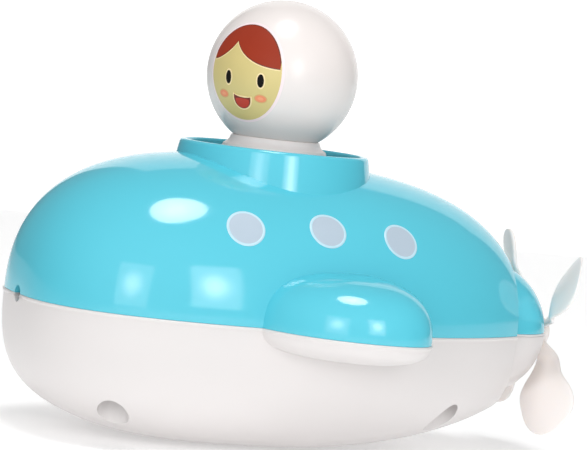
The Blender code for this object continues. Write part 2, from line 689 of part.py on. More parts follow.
def blade_point(share, lead, lift):
    """A point of the blade that stands up along Z. lead goes towards its leading edge and lift through it."""
    radius = BLADE_ROOT_R + (BLADE_TIP_R - BLADE_ROOT_R) * share
    lean = min(1.0, max(0.0, (radius - LEAN_START) / (LEAN_END - LEAN_START)))
    forward = BLADE_X + BLADE_LEAN * lean * lean * (3 - 2 * lean) + BLADE_RAKE * share
    pitch = BLADE_PITCH + BLADE_TWIST * (share - 0.6)
    along = -lead * math.sin(pitch) + lift * math.cos(pitch)
    across = lead * math.cos(pitch) + lift * math.sin(pitch)
    return (forward + along, across, radius)


def blade_half_width(share):
    """A narrow stem that widens to its full width three quarters of the way out."""
    return BLADE_HALF_WIDTH * 2.37 * ((share + 0.1) / 1.1) ** 1.42 * math.sqrt(max(0.0, 1 - share**1.6))


def blade_form(number):
    """One blade as a loft of thin, cupped sections from the hub to the tip."""
    stations = 10
    sides = ((-1, 0), (-0.85, 0.5), (0, 0.5), (0.85, 0.5), (1, 0), (0.85, -0.5), (0, -0.5), (-0.85, -0.5))
    bm = bmesh.new()
    rings = []
    for station in range(stations):
        share = math.sin(math.pi / 2 * station / stations)
        half = blade_half_width(share)
        ring = []
        for across, through in sides:
            lift = through * BLADE_THICKNESS - BLADE_CUP * (across * half / BLADE_HALF_WIDTH) ** 2
            ring.append(bm.verts.new(blade_point(share, across * half, lift)))
        rings.append(ring)
    for ring, following in zip(rings, rings[1:]):
        for i in range(len(sides)):
            k = (i + 1) % len(sides)
            bm.faces.new((ring[i], ring[k], following[k], following[i]))
    tip = bm.verts.new(blade_point(1.0, 0, 0))
    last = rings[-1]
    for i in range(len(sides)):
        bm.faces.new((last[i], last[(i + 1) % len(sides)], tip))
    bm.faces.new(rings[0])
    turn = BLADE_START + math.tau * number / BLADES - math.pi / 2
    obj = add_object(f"blade_{number + 1}", mesh_from(bm, f"blade_{number + 1}"), None, (0, 0, SHAFT_Z))
    obj.rotation_euler = (turn, 0, 0)
    return obj


def propeller():
    end = HUB_X - HUB_LENGTH
    profile = [
        (0, HUB_X),
        (HUB_R - 0.6 * MM, HUB_X),
        (HUB_R, HUB_X - 0.6 * MM),
        (HUB_R, end + 0.8 * MM),
        (HUB_R - 0.8 * MM, end),
        (0, end),
    ]
    hub = turned("propeller", profile, (0, SHAFT_Z), WHITE, ALONG_X, steps=20)
    join(hub, *(blade_form(number) for number in range(BLADES)))
    cut(
        hub,
        bore_along_x("hub_bore", SHAFT_R + GAP, end + 0.9 * MM, HUB_X + WALL, (0, SHAFT_Z), 20),
        bore_along_x("cap_seat", 3.0 * MM, end - MM, end + 1.2 * MM, (0, SHAFT_Z), 20),
    )


# ---------------------------------------------------------------- cockpit peg and passenger


def swivel_peg():
    centre = (COCKPIT_X, 0)
    flange = FLOOR_Z + GAP
    foot = FLOOR_Z - WALL - 0.7 * MM
    profile = [(0, PEG_TOP_Z), (PEG_R - MM, PEG_TOP_Z), (PEG_R, PEG_TOP_Z - MM), (PEG_R, flange + 2 * MM)]
    profile += [(8 * MM, flange + 2 * MM), (8 * MM, flange), (3 * MM, flange), (3 * MM, foot), (0, foot)]
    peg = turned("swivel_peg", profile, centre, BEARING, steps=20)
    cut(peg, cylinder("peg_pilot", SCREW_R + GAP, foot - MM, foot + 9 * MM, centre, steps=14))
    top = foot - GAP
    hole_r, washer_low = SCREW_R + GAP, top - 1.2 * MM
    washer = [(6.5 * MM, top), (6.5 * MM, washer_low), (hole_r, washer_low), (hole_r, top)]
    turned("peg_washer", washer, centre, STEEL, steps=16, ring=True)
    screw("peg_screw", centre, top - 1.2 * MM - GAP, 9 * MM, points_up=True)


def passenger():
    centre = (COCKPIT_X, 0)
    skirt_foot = FLOOR_Z + 0.8 * MM
    base_low = FLOOR_Z + GAP + 2 * MM + GAP
    hole_angle = math.degrees(math.acos(NECK_HOLE_R / HEAD_R))
    inner_r = HEAD_R - 2 * MM
    inner_angle = math.degrees(math.acos(NECK_HOLE_R / inner_r))
    head = arc((0, HEAD_Z), HEAD_R, 90, -hole_angle, 11) + arc((0, HEAD_Z), inner_r, -inner_angle, 90, 6)
    turned("passenger_head", head, centre, PASSENGER_WHITE, steps=26)

    seat_r = HEAD_R + GAP
    seat = [(r, HEAD_Z - math.sqrt(seat_r**2 - r**2)) for r in (NECK_R, NECK_HOLE_R - GAP)]
    plug_top = seat[1][1] + 4.2 * MM
    plug_r = NECK_HOLE_R - GAP
    waist = RIM_Z
    outer = [
        (NECK_R, seat[0][1]),
        (NECK_R + 0.5 * MM, seat[0][1] - 0.5 * MM),
        (NECK_R + 0.9 * MM, seat[0][1] - 1.6 * MM),
        (SKIRT_TOP_R, waist),
        (SKIRT_TOP_R + 1.4 * MM, waist - 4 * MM),
        (SKIRT_R - 0.8 * MM, waist - 10 * MM),
        (SKIRT_R, waist - 18 * MM),
        (SKIRT_R, skirt_foot),
    ]
    inner = [
        (SKIRT_R - 1.8 * MM, skirt_foot),
        (SKIRT_R - 1.8 * MM, waist - 18 * MM),
        (SKIRT_TOP_R - 1.2 * MM, waist - 4 * MM),
        (plug_r - 2 * MM, seat[1][1] - 3 * MM),
        (plug_r - 2 * MM, plug_top),
        (plug_r, plug_top),
        (plug_r, seat[1][1]),
    ]
    turned("passenger_body", outer + inner, centre, PASSENGER_WHITE, steps=24, ring=True)

    socket_r, disc_r = PEG_R + GAP, SKIRT_R - 1.8 * MM - GAP
    socket_top = PEG_TOP_Z + GAP
    base = [
        (0, socket_top + 2 * MM),
        (socket_r + 1.8 * MM, socket_top + 2 * MM),
        (socket_r + 1.8 * MM, base_low + 2.2 * MM),
        (disc_r, base_low + 2.2 * MM),
        (disc_r, base_low),
        (socket_r, base_low),
        (socket_r, socket_top),
        (0, socket_top),
    ]
    turned("passenger_base", base, centre, PASSENGER_WHITE, steps=20)


# ---------------------------------------------------------------- ballast


def ballast():
    half = Vector(BALLAST_SIZE) / 2
    centre = Vector((BALLAST_X, 0, BALLAST_Z))
    bar = box("ballast_bar", centre - half, centre + half, STEEL)
    top = BALLAST_Z + half.z
    for number, x in enumerate(BALLAST_SCREW_X, 1):
        cut(bar, cylinder(f"ballast_hole_{number}", SCREW_R + GAP, 0, SEAM_Z, (x, 0), steps=14))
        screw(f"ballast_screw_{number}", (x, 0), top + GAP, BALLAST_SIZE[2] + 3.0 * MM, points_up=False)


# ---------------------------------------------------------------- assembly

clear_scene()
PARTS = new_collection("toy_submarine")
TOOLS = new_collection("tool_shapes")

LUG_X, LUG_Z = -28.4 * MM, SEAM_Z - 8.0 * MM
BUSH_HOLE = bore_along_x("bush_hole", BUSH_R + GAP, DOME_END_X - WALL, BUSH_X + WALL, (0, SHAFT_Z), 20)

OUTSIDE, INSIDE = hull_outside(), hull_inside()
upper_hull(OUTSIDE, INSIDE)
lower_hull(OUTSIDE, INSIDE)
for index, well_place in enumerate(well_places(), 1):
    screw(f"hull_screw_{index}", well_place, SEAM_Z - WELL_CEILING - GAP, 12 * MM, points_up=True)
ballast()
clockwork()
for index, lug_place in enumerate(case_screw_places(), 1):
    screw(f"case_screw_{index}", lug_place, LUG_Z + 3 * MM + GAP, 10 * MM, points_up=False)
propeller_line()
swivel_peg()
passenger()
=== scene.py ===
"""Looks of the toy submarine: fine surfaces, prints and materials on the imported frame, and a white studio.

Frame: metres, +X is the bow, +Y is port, +Z is up, and the hull stands on Z = 0.
"""

import math

import bmesh
import bpy
from mathutils import Matrix, Vector
from mathutils.bvhtree import BVHTree


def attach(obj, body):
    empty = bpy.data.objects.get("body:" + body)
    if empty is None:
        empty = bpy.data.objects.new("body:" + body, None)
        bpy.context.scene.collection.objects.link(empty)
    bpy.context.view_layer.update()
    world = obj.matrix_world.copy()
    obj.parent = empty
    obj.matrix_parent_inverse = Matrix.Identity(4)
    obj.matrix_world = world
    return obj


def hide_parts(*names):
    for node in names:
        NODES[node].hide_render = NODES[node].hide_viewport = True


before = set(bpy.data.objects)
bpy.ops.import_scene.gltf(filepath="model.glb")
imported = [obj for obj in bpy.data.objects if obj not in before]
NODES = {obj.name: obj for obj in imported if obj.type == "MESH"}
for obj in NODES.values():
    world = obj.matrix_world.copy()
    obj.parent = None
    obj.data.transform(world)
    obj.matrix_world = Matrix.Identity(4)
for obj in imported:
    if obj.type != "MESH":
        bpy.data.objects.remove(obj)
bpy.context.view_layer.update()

MM = 0.001
GAP = 0.3 * MM
SEAM_GAP = 0.06 * MM
WALL = 2.2 * MM
SEAM_Z = 41.5 * MM
SHAFT_Z = SEAM_Z - 0.8 * MM

# The hull's own lines, as in the CAD model.
NOSE_X, TRANSOM_X = 93.3 * MM, -67.0 * MM
HALF_BEAM, CROWN, DRAUGHT = 53.3 * MM, 48.8 * MM, 42.0 * MM
UPPER_SECTION, LOWER_SECTION = 2.14, 2.70
BEAM_LINE = {"bow": 2.73, "stern": 1.66, "widest_x": 1.9 * MM, "tail_x": -87.5 * MM}
CROWN_LINE = {"bow": 2.67, "stern": 2.75, "widest_x": 21.5 * MM, "tail_x": -76.0 * MM}
KEEL_LINE = {"bow": 3.25, "stern": 1.91, "widest_x": 12.0 * MM, "tail_x": -95.2 * MM}
NOSE_HOLE_R = 2.6 * MM
FIN_X, FIN_Y = 4.8 * MM, 50.0 * MM
FIN_BOW_CHORD, FIN_STERN_CHORD, FIN_SPAN = 29.0 * MM, 21.0 * MM, 28.0 * MM
FIN_RISE, FIN_DROP, FIN_SWEEP = 18.2 * MM, 8.3 * MM, 0.2
FIN_BOW, FIN_STERN, FIN_CROWN = 2.0, 2.2, 2.6
DOME_X, DOME_R, DOME_END_X = -67.6 * MM, 22.2 * MM, -87.9 * MM
BUSH_X, BUSH_R, SHAFT_R = -79.2 * MM, 4.3 * MM, 1.5 * MM
COCKPIT_X, COCKPIT_R = 12.7 * MM, 27.5 * MM
RIM_Z, RIM_R = SEAM_Z + 52.1 * MM, 30.3 * MM
COAMING_FOOT_Z, COAMING_FOOT_R = SEAM_Z + 34 * MM, 33.5 * MM
FLOOR_Z = RIM_Z - 24 * MM
WELL_PLACES = ((69.2 * MM, 29.5 * MM), (-40.0 * MM, 33.5 * MM))
WELL_R, WELL_WALL, WELL_CEILING, POST_R = 5.0 * MM, 1.6 * MM, 3.8 * MM, 4.2 * MM
SCREW_R = 1.4 * MM
BEARING_BLOCK_R = 7.6 * MM
PEG_R, PEG_TOP, PEG_HOLE_R = 4.0 * MM, FLOOR_Z + 14.5 * MM, 3.0 * MM

HUB_X, HUB_LENGTH, HUB_R = -88.3 * MM, 4.6 * MM, 4.7 * MM
BLADES, BLADE_START = 4, math.radians(39)
BLADE_TIP_R, BLADE_ROOT_R = 38.2 * MM, 3.0 * MM
BLADE_X, BLADE_LEAN, BLADE_RAKE = -91.0 * MM, 6.2 * MM, -2.1 * MM
LEAN_START, LEAN_END = 9.0 * MM, 22.5 * MM
BLADE_HALF_WIDTH, BLADE_THICKNESS, BLADE_CUP = 10.4 * MM, 1.5 * MM, 1.6 * MM
BLADE_PITCH, BLADE_TWIST, TWIST_FROM = math.radians(-26.7), math.radians(14.3), 0.6
# The blade's outline: how fast it widens from the root, and how bluntly it ends at the tip.
BLADE_FULLNESS, BLADE_START_SHARE, BLADE_WIDENING, BLADE_TIP = 2.37, 0.1, 1.42, 1.6

HEAD_R, HEAD_Z = 24.0 * MM, SEAM_Z + 74.9 * MM
HEAD_WALL = 2 * MM
HEAD_CENTRE = Vector((COCKPIT_X, 0, HEAD_Z))
NECK_R, NECK_HOLE_R = 13.9 * MM, 11.0 * MM
SKIRT_R, SKIRT_TOP_R, SKIRT_WALL = 19.8 * MM, 16.4 * MM, 1.8 * MM
FACE_AZIMUTH, FACE_ELEVATION = math.radians(33.5), math.radians(0.8)

ALONG_X = Matrix(((0, 0, 1), (1, 0, 0), (0, 1, 0))).to_4x4()


# ---------------- materials


def material(name, colour, roughness, variation, scale, bump, bump_scale, metallic=0.0, rough_spread=0.04,
             subsurface=0.0, stretch=(1, 1, 1), ior=1.5):
    """A moulded or drawn surface: slow colour drift, uneven gloss and a fine skin texture."""
    mat = bpy.data.materials.new(name)
    mat.use_nodes = True
    tree = mat.node_tree
    nodes, links = tree.nodes, tree.links
    shader = nodes["Principled BSDF"]
    shader.inputs["Metallic"].default_value = metallic
    shader.inputs["IOR"].default_value = ior
    shader.inputs["Subsurface Weight"].default_value = subsurface
    shader.inputs["Subsurface Radius"].default_value = (1.0, 0.9, 0.8)
    shader.inputs["Subsurface Scale"].default_value = 0.002
    place = nodes.new("ShaderNodeTexCoord")
    mapping = nodes.new("ShaderNodeMapping")
    mapping.inputs["Scale"].default_value = stretch
    links.new(place.outputs["Object"], mapping.inputs["Vector"])

    drift = nodes.new("ShaderNodeTexNoise")
    drift.inputs["Scale"].default_value = scale
    drift.inputs["Detail"].default_value = 3.0
    links.new(mapping.outputs["Vector"], drift.inputs["Vector"])
    tint = nodes.new("ShaderNodeValToRGB")
    tint.color_ramp.elements[0].position = 0.3
    tint.color_ramp.elements[1].position = 0.7
    tint.color_ramp.elements[0].color = (*[c * (1 - variation) for c in colour], 1)
    tint.color_ramp.elements[1].color = (*[min(1.0, c * (1 + variation)) for c in colour], 1)
    links.new(drift.outputs["Fac"], tint.inputs["Fac"])
    links.new(tint.outputs["Color"], shader.inputs["Base Color"])

    spread = nodes.new("ShaderNodeMapRange")
    spread.inputs["To Min"].default_value = max(0.02, roughness - rough_spread)
    spread.inputs["To Max"].default_value = roughness + rough_spread
    links.new(drift.outputs["Fac"], spread.inputs["Value"])
    links.new(spread.outputs["Result"], shader.inputs["Roughness"])

    grain = nodes.new("ShaderNodeTexNoise")
    grain.inputs["Scale"].default_value = bump_scale
    grain.inputs["Detail"].default_value = 2.0
    links.new(mapping.outputs["Vector"], grain.inputs["Vector"])
    relief = nodes.new("ShaderNodeBump")
    relief.inputs["Strength"].default_value = bump
    relief.inputs["Distance"].default_value = 0.0002
    links.new(grain.outputs["Fac"], relief.inputs["Height"])
    links.new(relief.outputs["Normal"], shader.inputs["Normal"])
    return mat


def wash(*shade):
    """Scene colour of an sRGB shade."""
    parts = [part / 255 for part in shade]
    return tuple(c / 12.92 if c * 255 <= 10 else ((c + 0.055) / 1.055) ** 2.4 for c in parts)


def ink(name, shade, roughness, variation, scale=60, ior=1.5):
    """A colour printed on the doll's face."""
    return material(name, wash(*shade), roughness, variation, scale, bump=0.02, bump_scale=700, ior=ior)


TURQUOISE = material("turquoise_gloss", wash(86, 197, 217), 0.09, variation=0.015, scale=18, bump=0.01,
                     bump_scale=160, rough_spread=0.02, ior=1.58)
WHITE = material("white_satin", wash(222, 218, 217), 0.33, variation=0.012, scale=18, bump=0.012,
                 bump_scale=260)
HOOD = material("hood_satin", wash(232, 225, 222), 0.25, variation=0.01, scale=25, bump=0.012, bump_scale=300)
# The gown's pale white is partly its own colour and partly painted light: it is set paler than the hood so
# that it stays bright in the head's shade.
COLLAR = material("collar_satin", wash(246, 238, 236), 0.36, variation=0.012, scale=25, bump=0.015,
                  bump_scale=300)
BLADE_WHITE = material("propeller_satin", wash(243, 236, 233), 0.34, variation=0.015, scale=30, bump=0.015,
                       bump_scale=300, subsurface=0.5)
PORTHOLE = material("porthole_print", wash(178, 194, 208), 0.42, variation=0.02, scale=60, bump=0.01,
                    bump_scale=400)
PORTHOLE_RING = material("porthole_edge", wash(188, 221, 234), 0.34, variation=0.02, scale=60, bump=0.01,
                         bump_scale=400)
SKIN = ink("face_print", (212, 195, 130), 0.38, 0.02)
OUTLINE = ink("face_outline", (245, 222, 170), 0.38, 0.01)
FACE_EDGE = ink("face_edge", (243, 226, 229), 0.36, 0.01)
HAIR = ink("hair_print", (150, 50, 27), 0.46, 0.05, scale=70, ior=1.3)
EYE = ink("eye_print", (9, 7, 6), 0.5, 0.05, ior=1.25)
BLUSH = ink("cheek_print", (234, 140, 98), 0.40, 0.02)
BLUSH_SOFT = ink("cheek_edge_print", (209, 170, 110), 0.40, 0.02)
BLUSH_PALE = ink("cheek_middle_print", (238, 158, 116), 0.40, 0.02)
HAIR_EDGE = ink("hair_edge_print", (104, 32, 18), 0.38, 0.05, scale=70)
MOUTH = ink("mouth_print", (186, 52, 28), 0.36, 0.03)
LIP = ink("lip_print", (118, 32, 18), 0.36, 0.03)
BEARING = material("bearing_plastic", wash(220, 216, 200), 0.42, variation=0.03, scale=80, bump=0.05,
                   bump_scale=900)
CASE = material("case_plastic", wash(92, 97, 102), 0.45, variation=0.05, scale=60, bump=0.10, bump_scale=1500)
GEAR = material("gear_plastic", wash(226, 196, 120), 0.40, variation=0.04, scale=120, bump=0.05,
                bump_scale=1200)
RUBBER = material("seal_rubber", wash(32, 31, 31), 0.62, variation=0.10, scale=200, bump=0.10,
                  bump_scale=1500)
STEEL = material("plated_steel", wash(190, 192, 196), 0.26, variation=0.04, scale=400, bump=0.05,
                 bump_scale=2500, metallic=1.0, rough_spread=0.08)
ROD = material("drawn_steel", wash(186, 188, 192), 0.22, variation=0.03, scale=300, bump=0.05,
               bump_scale=2500, metallic=1.0, rough_spread=0.08, stretch=(0.05, 1, 1))
BAR = material("sawn_steel", wash(150, 150, 154), 0.42, variation=0.08, scale=250, bump=0.15,
               bump_scale=1800, metallic=1.0, rough_spread=0.12, stretch=(0.1, 1, 1))
SPRING = material("blued_spring", wash(84, 92, 118), 0.32, variation=0.12, scale=300, bump=0.05,
                  bump_scale=2500, metallic=1.0, rough_spread=0.08)


# ---------------- mesh helpers


def link(name, mesh, mat=None):
    obj = bpy.data.objects.new(name, mesh)
    bpy.context.scene.collection.objects.link(obj)
    if mat:
        mesh.materials.clear()
        mesh.materials.append(mat)
    return obj


def mesh_from(bm, name, sharp=35):
    bmesh.ops.recalc_face_normals(bm, faces=bm.faces)
    mesh = bpy.data.meshes.new(name)
    bm.to_mesh(mesh)
    bm.free()
    mesh.shade_smooth()
    if sharp:
        mesh.set_sharp_from_angle(angle=math.radians(sharp))
    return mesh


def loft(rings, cap_start=None, cap_end=None, close=True):
    """A tube through rings of points. A cap is a point for a fan, or True for one flat face."""
    bm = bmesh.new()
    made = [[bm.verts.new(p) for p in ring] for ring in rings]
    count = len(made[0])
    for lower, upper in zip(made, made[1:]):
        for i in range(count if close else count - 1):
            k = (i + 1) % count
            bm.faces.new((lower[i], lower[k], upper[k], upper[i]))
    for ring, cap in ((made[0], cap_start), (made[-1], cap_end)):
        if cap is True:
            bm.faces.new(ring)
        elif cap is not None:
            tip = bm.verts.new(cap)
            for i in range(count):
                bm.faces.new((ring[i], ring[(i + 1) % count], tip))
    return bm


def turned_bm(profile, place, steps):
    """A turned solid from (radius, height) points. It is a ring unless it starts on the axis."""
    bm = bmesh.new()
    turns = [math.tau * i / steps for i in range(steps)]
    rings = []
    for radius, height in profile:
        if radius <= 1e-9:
            rings.append([bm.verts.new(place @ Vector((0, 0, height)))])
            continue
        circle = [Vector((radius * math.cos(a), radius * math.sin(a), height)) for a in turns]
        rings.append([bm.verts.new(place @ point) for point in circle])
    pairs = list(zip(rings, rings[1:]))
    if profile[0][0] > 1e-9:
        pairs.append((rings[-1], rings[0]))
    for first, second in pairs:
        if len(first) == 1 and len(second) == 1:
            continue
        for i in range(steps):
            k = (i + 1) % steps
            if len(first) == 1:
                bm.faces.new((first[0], second[i], second[k]))
            elif len(second) == 1:
                bm.faces.new((first[i], second[0], first[k]))
            else:
                bm.faces.new((first[i], second[i], second[k], first[k]))
    return bm


def upright(x, y, z=0.0):
    return Matrix.Translation((x, y, z))


def along_x(y, z, x=0.0):
    return Matrix.Translation((x, y, z)) @ ALONG_X


def turned(name, profile, place, steps=96, mat=None, sharp=35):
    return link(name, mesh_from(turned_bm(profile, place, steps), name, sharp), mat)


def rod(name, radius, start, end, place, steps=32):
    return turned(name, [(0, end), (radius, end), (radius, start), (0, start)], place, steps)


def arc(centre, radius, start_degrees, end_degrees, count):
    sweep = end_degrees - start_degrees
    steps = [math.radians(start_degrees + sweep * i / count) for i in range(count + 1)]
    return [(centre[0] + radius * math.cos(a), centre[1] + radius * math.sin(a)) for a in steps]


def block(name, low, high):
    bm = bmesh.new()
    bmesh.ops.create_cube(bm, size=1.0)
    bmesh.ops.scale(bm, vec=Vector(high) - Vector(low), verts=bm.verts)
    bmesh.ops.translate(bm, vec=(Vector(high) + Vector(low)) / 2, verts=bm.verts)
    return link(name, mesh_from(bm, name))


def boolean(target, tools, operation="DIFFERENCE"):
    """Applies one Boolean after another, and removes the tools."""
    for tool in tools:
        modifier = target.modifiers.new("Boolean", "BOOLEAN")
        modifier.object = tool
        modifier.operation = operation
        modifier.solver = "EXACT"
    graph = bpy.context.evaluated_depsgraph_get()
    mesh = bpy.data.meshes.new_from_object(target.evaluated_get(graph))
    target.modifiers.clear()
    target.data = mesh
    for tool in tools:
        bpy.data.objects.remove(tool)
    return target


def finish_surface(obj, mat, sharp):
    obj.data.materials.clear()
    obj.data.materials.append(mat)
    obj.data.shade_smooth()
    obj.data.set_sharp_from_angle(angle=math.radians(sharp))


def copy_of(obj, name):
    return link(name, obj.data.copy())


# ---------------- hull form


def superellipse(u, exponent):
    return max(0.0, 1 - abs(u) ** exponent) ** (1 / exponent)


def signed_power(value, exponent):
    """A power that keeps the sign, for the quarters of a superellipse."""
    return math.copysign(abs(value) ** exponent, value)


def line_height(x, height, line, inset):
    """How far a profile line stands from the hull's axis at a station."""
    widest, nose, tail = line["widest_x"], NOSE_X - inset, line["tail_x"] + inset
    if x >= widest:
        return (height - inset) * superellipse((x - widest) / (nose - widest), line["bow"])
    return (height - inset) * superellipse((widest - x) / (widest - tail), line["stern"])


def hull_lines(x, inset):
    return (
        line_height(x, HALF_BEAM, BEAM_LINE, inset),
        line_height(x, CROWN, CROWN_LINE, inset),
        line_height(x, DRAUGHT, KEEL_LINE, inset),
    )


def hull_section(x, inset, half):
    """A ring of points round the hull at one station, fuller below the seam than above."""
    beam, crown, keel = hull_lines(x, inset)
    points = []
    for i in range(2 * half):
        angle = math.pi * i / half
        power = 2 / (UPPER_SECTION if i < half else LOWER_SECTION)
        across = signed_power(math.cos(angle), power)
        rise = abs(math.sin(angle)) ** power * (crown if i < half else -keel)
        points.append((x, beam * across, SEAM_Z + rise))
    return points


def even_stations(inset, count):
    """Stations from transom to nose, evenly spaced along the longest of the three profiles."""
    nose, transom = NOSE_X - inset, TRANSOM_X + inset
    fine = [transom + (nose - transom) * math.sin(math.pi / 2 * i / 4000) for i in range(4001)]
    lengths, last = [0.0], hull_lines(fine[0], inset)
    for before, x in zip(fine, fine[1:]):
        now = hull_lines(x, inset)
        step = max(abs(a - b) for a, b in zip(now, last))
        lengths.append(lengths[-1] + math.hypot(x - before, step))
        last = now
    stations, k = [], 0
    for i in range(count):
        wanted = lengths[-1] * i / count
        while lengths[k] < wanted:
            k += 1
        stations.append(fine[k])
    return stations


def hull_form(name, inset, count, half):
    rings = [hull_section(x, inset, half) for x in even_stations(inset, count)]
    return link(name, mesh_from(loft(rings, True, (NOSE_X - inset, 0, SEAM_Z)), name))


def fin_form(name, side, inset, around, rings):
    """A rounded fin: levels of swept ovals that close above and below."""
    span = FIN_SPAN - inset
    levels = []
    for level in range(-rings + 1, rings):
        tilt = math.pi / 2 * abs(level) / rings
        spread = math.cos(tilt) ** (2 / FIN_CROWN)
        height = FIN_RISE if level > 0 else -FIN_DROP
        rise = math.sin(tilt) ** (2 / FIN_CROWN) * (height - math.copysign(inset, level))
        ring = []
        for i in range(around):
            angle = math.tau * i / around
            forward = math.cos(angle) > 0
            chord, exponent = (FIN_BOW_CHORD, FIN_BOW) if forward else (FIN_STERN_CHORD, FIN_STERN)
            along = signed_power(math.cos(angle), 2 / exponent) * (chord - inset) * spread
            out = signed_power(math.sin(angle), 2 / exponent) * span * spread
            ring.append((FIN_X + along - FIN_SWEEP * out, side * (FIN_Y + out), SEAM_Z + rise))
        levels.append(ring)
    low = (FIN_X, side * FIN_Y, SEAM_Z - FIN_DROP + inset)
    high = (FIN_X, side * FIN_Y, SEAM_Z + FIN_RISE - inset)
    return link(name, mesh_from(loft(levels, low, high), name))


def dome_form(name, radius, end, steps, count):
    flat_angle = math.degrees(math.asin((DOME_X - end) / radius))
    profile = arc((0, DOME_X), radius, 90, -flat_angle, count) + [(0, end)]
    profile[0] = (0, profile[0][1])
    return turned(name, profile, along_x(0, SHAFT_Z), steps)


def well_places():
    return [(x, side * y) for x, y in WELL_PLACES for side in (1, -1)]


def coaming_form():
    lip = 1.2 * MM
    profile = [(0, RIM_Z)] + arc((RIM_R - lip, RIM_Z - lip), lip, 90, 5, 6)
    profile += [(COAMING_FOOT_R, COAMING_FOOT_Z), (0, COAMING_FOOT_Z)]
    return turned("coaming_form", profile, upright(COCKPIT_X, 0), 160)


def cockpit_space():
    lip, cove = 0.9 * MM, 3.0 * MM
    top = COCKPIT_R + 0.4 * MM
    profile = [(0, RIM_Z + WALL), (top + lip, RIM_Z + WALL)]
    profile += [(top + lip * (1 - math.sin(a)), RIM_Z - lip * (1 - math.cos(a)))
                for a in (math.pi / 2 * i / 6 for i in range(7))]
    profile += arc((COCKPIT_R - cove, FLOOR_Z + cove), cove, 0, -90, 8) + [(0, FLOOR_Z)]
    return turned("cockpit_space", profile, upright(COCKPIT_X, 0), 160)


def hull_inside():
    """The space inside the shells, less what stands in it, as in the CAD model."""
    inside = hull_form("hull_inside", WALL, 14, 10)
    shaft = along_x(0, SHAFT_Z)
    boolean(inside, [
        dome_form("dome_inside", DOME_R - WALL, DOME_END_X + WALL, 20, 8),
        fin_form("port_fin_inside", 1, WALL, 14, 3),
        fin_form("starboard_fin_inside", -1, WALL, 14, 3),
        rod("nose_hole", NOSE_HOLE_R, NOSE_X - 8 * MM, NOSE_X + 5 * MM, along_x(0, SEAM_Z), 48),
    ], "UNION")
    tools = [
        rod("cockpit_tub", COCKPIT_R + WALL, FLOOR_Z - WALL, RIM_Z + WALL, upright(COCKPIT_X, 0), 64),
        rod("bearing_block", BEARING_BLOCK_R, DOME_END_X - WALL, BUSH_X - GAP, shaft, 32),
    ]
    for x, y in well_places():
        tools.append(rod("post", POST_R, SEAM_Z + GAP, SEAM_Z + CROWN, upright(x, y), 24))
        tools.append(rod("well_tube", WELL_R + WELL_WALL, -GAP, SEAM_Z, upright(x, y), 32))
    return boolean(inside, tools)


# ---------------- hull shells


def source_normals(obj):
    """What a smooth normal is read from: the tree of a form and its corner normals."""
    mesh = obj.data
    mesh.calc_loop_triangles()
    points = [v.co.copy() for v in mesh.vertices]
    triangles = [tuple(t.vertices) for t in mesh.loop_triangles]
    corners = [[Vector(n) for n in t.split_normals] for t in mesh.loop_triangles]
    return BVHTree.FromPolygons(points, triangles), points, triangles, corners


def smooth_normal(source, index, place):
    """A form's normal at a place on one of its triangles, blended from the triangle's corners."""
    _, points, triangles, corners = source
    a, b, c = (points[i] for i in triangles[index])
    u, v, w = b - a, c - a, place - a
    uu, uv, vv, wu, wv = u.dot(u), u.dot(v), v.dot(v), w.dot(u), w.dot(v)
    size = uu * vv - uv * uv
    if size <= 0:
        return corners[index][0]
    s = min(1.0, max(0.0, (vv * wu - uv * wv) / size))
    t = min(1.0 - s, max(0.0, (uu * wv - uv * wu) / size))
    return (corners[index][0] * (1 - s - t) + corners[index][1] * s + corners[index][2] * t).normalized()


# A face takes a form's normals if it lies on the form and agrees with it, and so does each of its corners.
SEARCH, ON_FORM, CORNER_SEARCH = 0.4 * MM, 0.12 * MM, 1.0 * MM
FACE_AGREES, CORNER_AGREES = 0.9, 0.93


def take_normals(obj, sources):
    """Gives each face that lies on a form that form's own smooth normals, so that cuts leave no ripples."""
    mesh = obj.data
    normals = [Vector(corner.vector) for corner in mesh.corner_normals]
    for face in mesh.polygons:
        centre, direction = face.center, face.normal
        best = None
        for source in sources:
            _, normal, _, distance = source[0].find_nearest(centre, SEARCH)
            if normal is None or abs(normal.dot(direction)) <= FACE_AGREES:
                continue
            if best is None or distance < best[0]:
                best = (distance, source)
        if best is None or best[0] > ON_FORM:
            continue
        source = best[1]
        for corner in face.loop_indices:
            place = mesh.vertices[mesh.loops[corner].vertex_index].co
            found, _, index, _ = source[0].find_nearest(place, CORNER_SEARCH)
            if index is None:
                continue
            normal = smooth_normal(source, index, found)
            if normal.dot(direction) < 0:
                normal = -normal
            if normal.dot(direction) > CORNER_AGREES:
                normals[corner] = normal
    mesh.normals_split_custom_set([tuple(n) for n in normals])


# The rows of a shell's edge at the seam, in mm: distance from the seam, and how far the wall stands out.
# The white half ends in a low rounded lip, and the turquoise half in a barely rounded edge.
LIP_EDGE = ((1.5, 0.0), (1.15, 0.1), (0.85, 0.28), (0.6, 0.4), (0.42, 0.4), (0.27, 0.34), (0.14, 0.22),
            (0.05, 0.08), (0.0, -0.05))
SHARP_EDGE = ((0.15, 0.0), (0.05, -0.03), (0.0, -0.1))
ROW_TOLERANCE, STEEPEST_WALL = 2e-6, 0.7


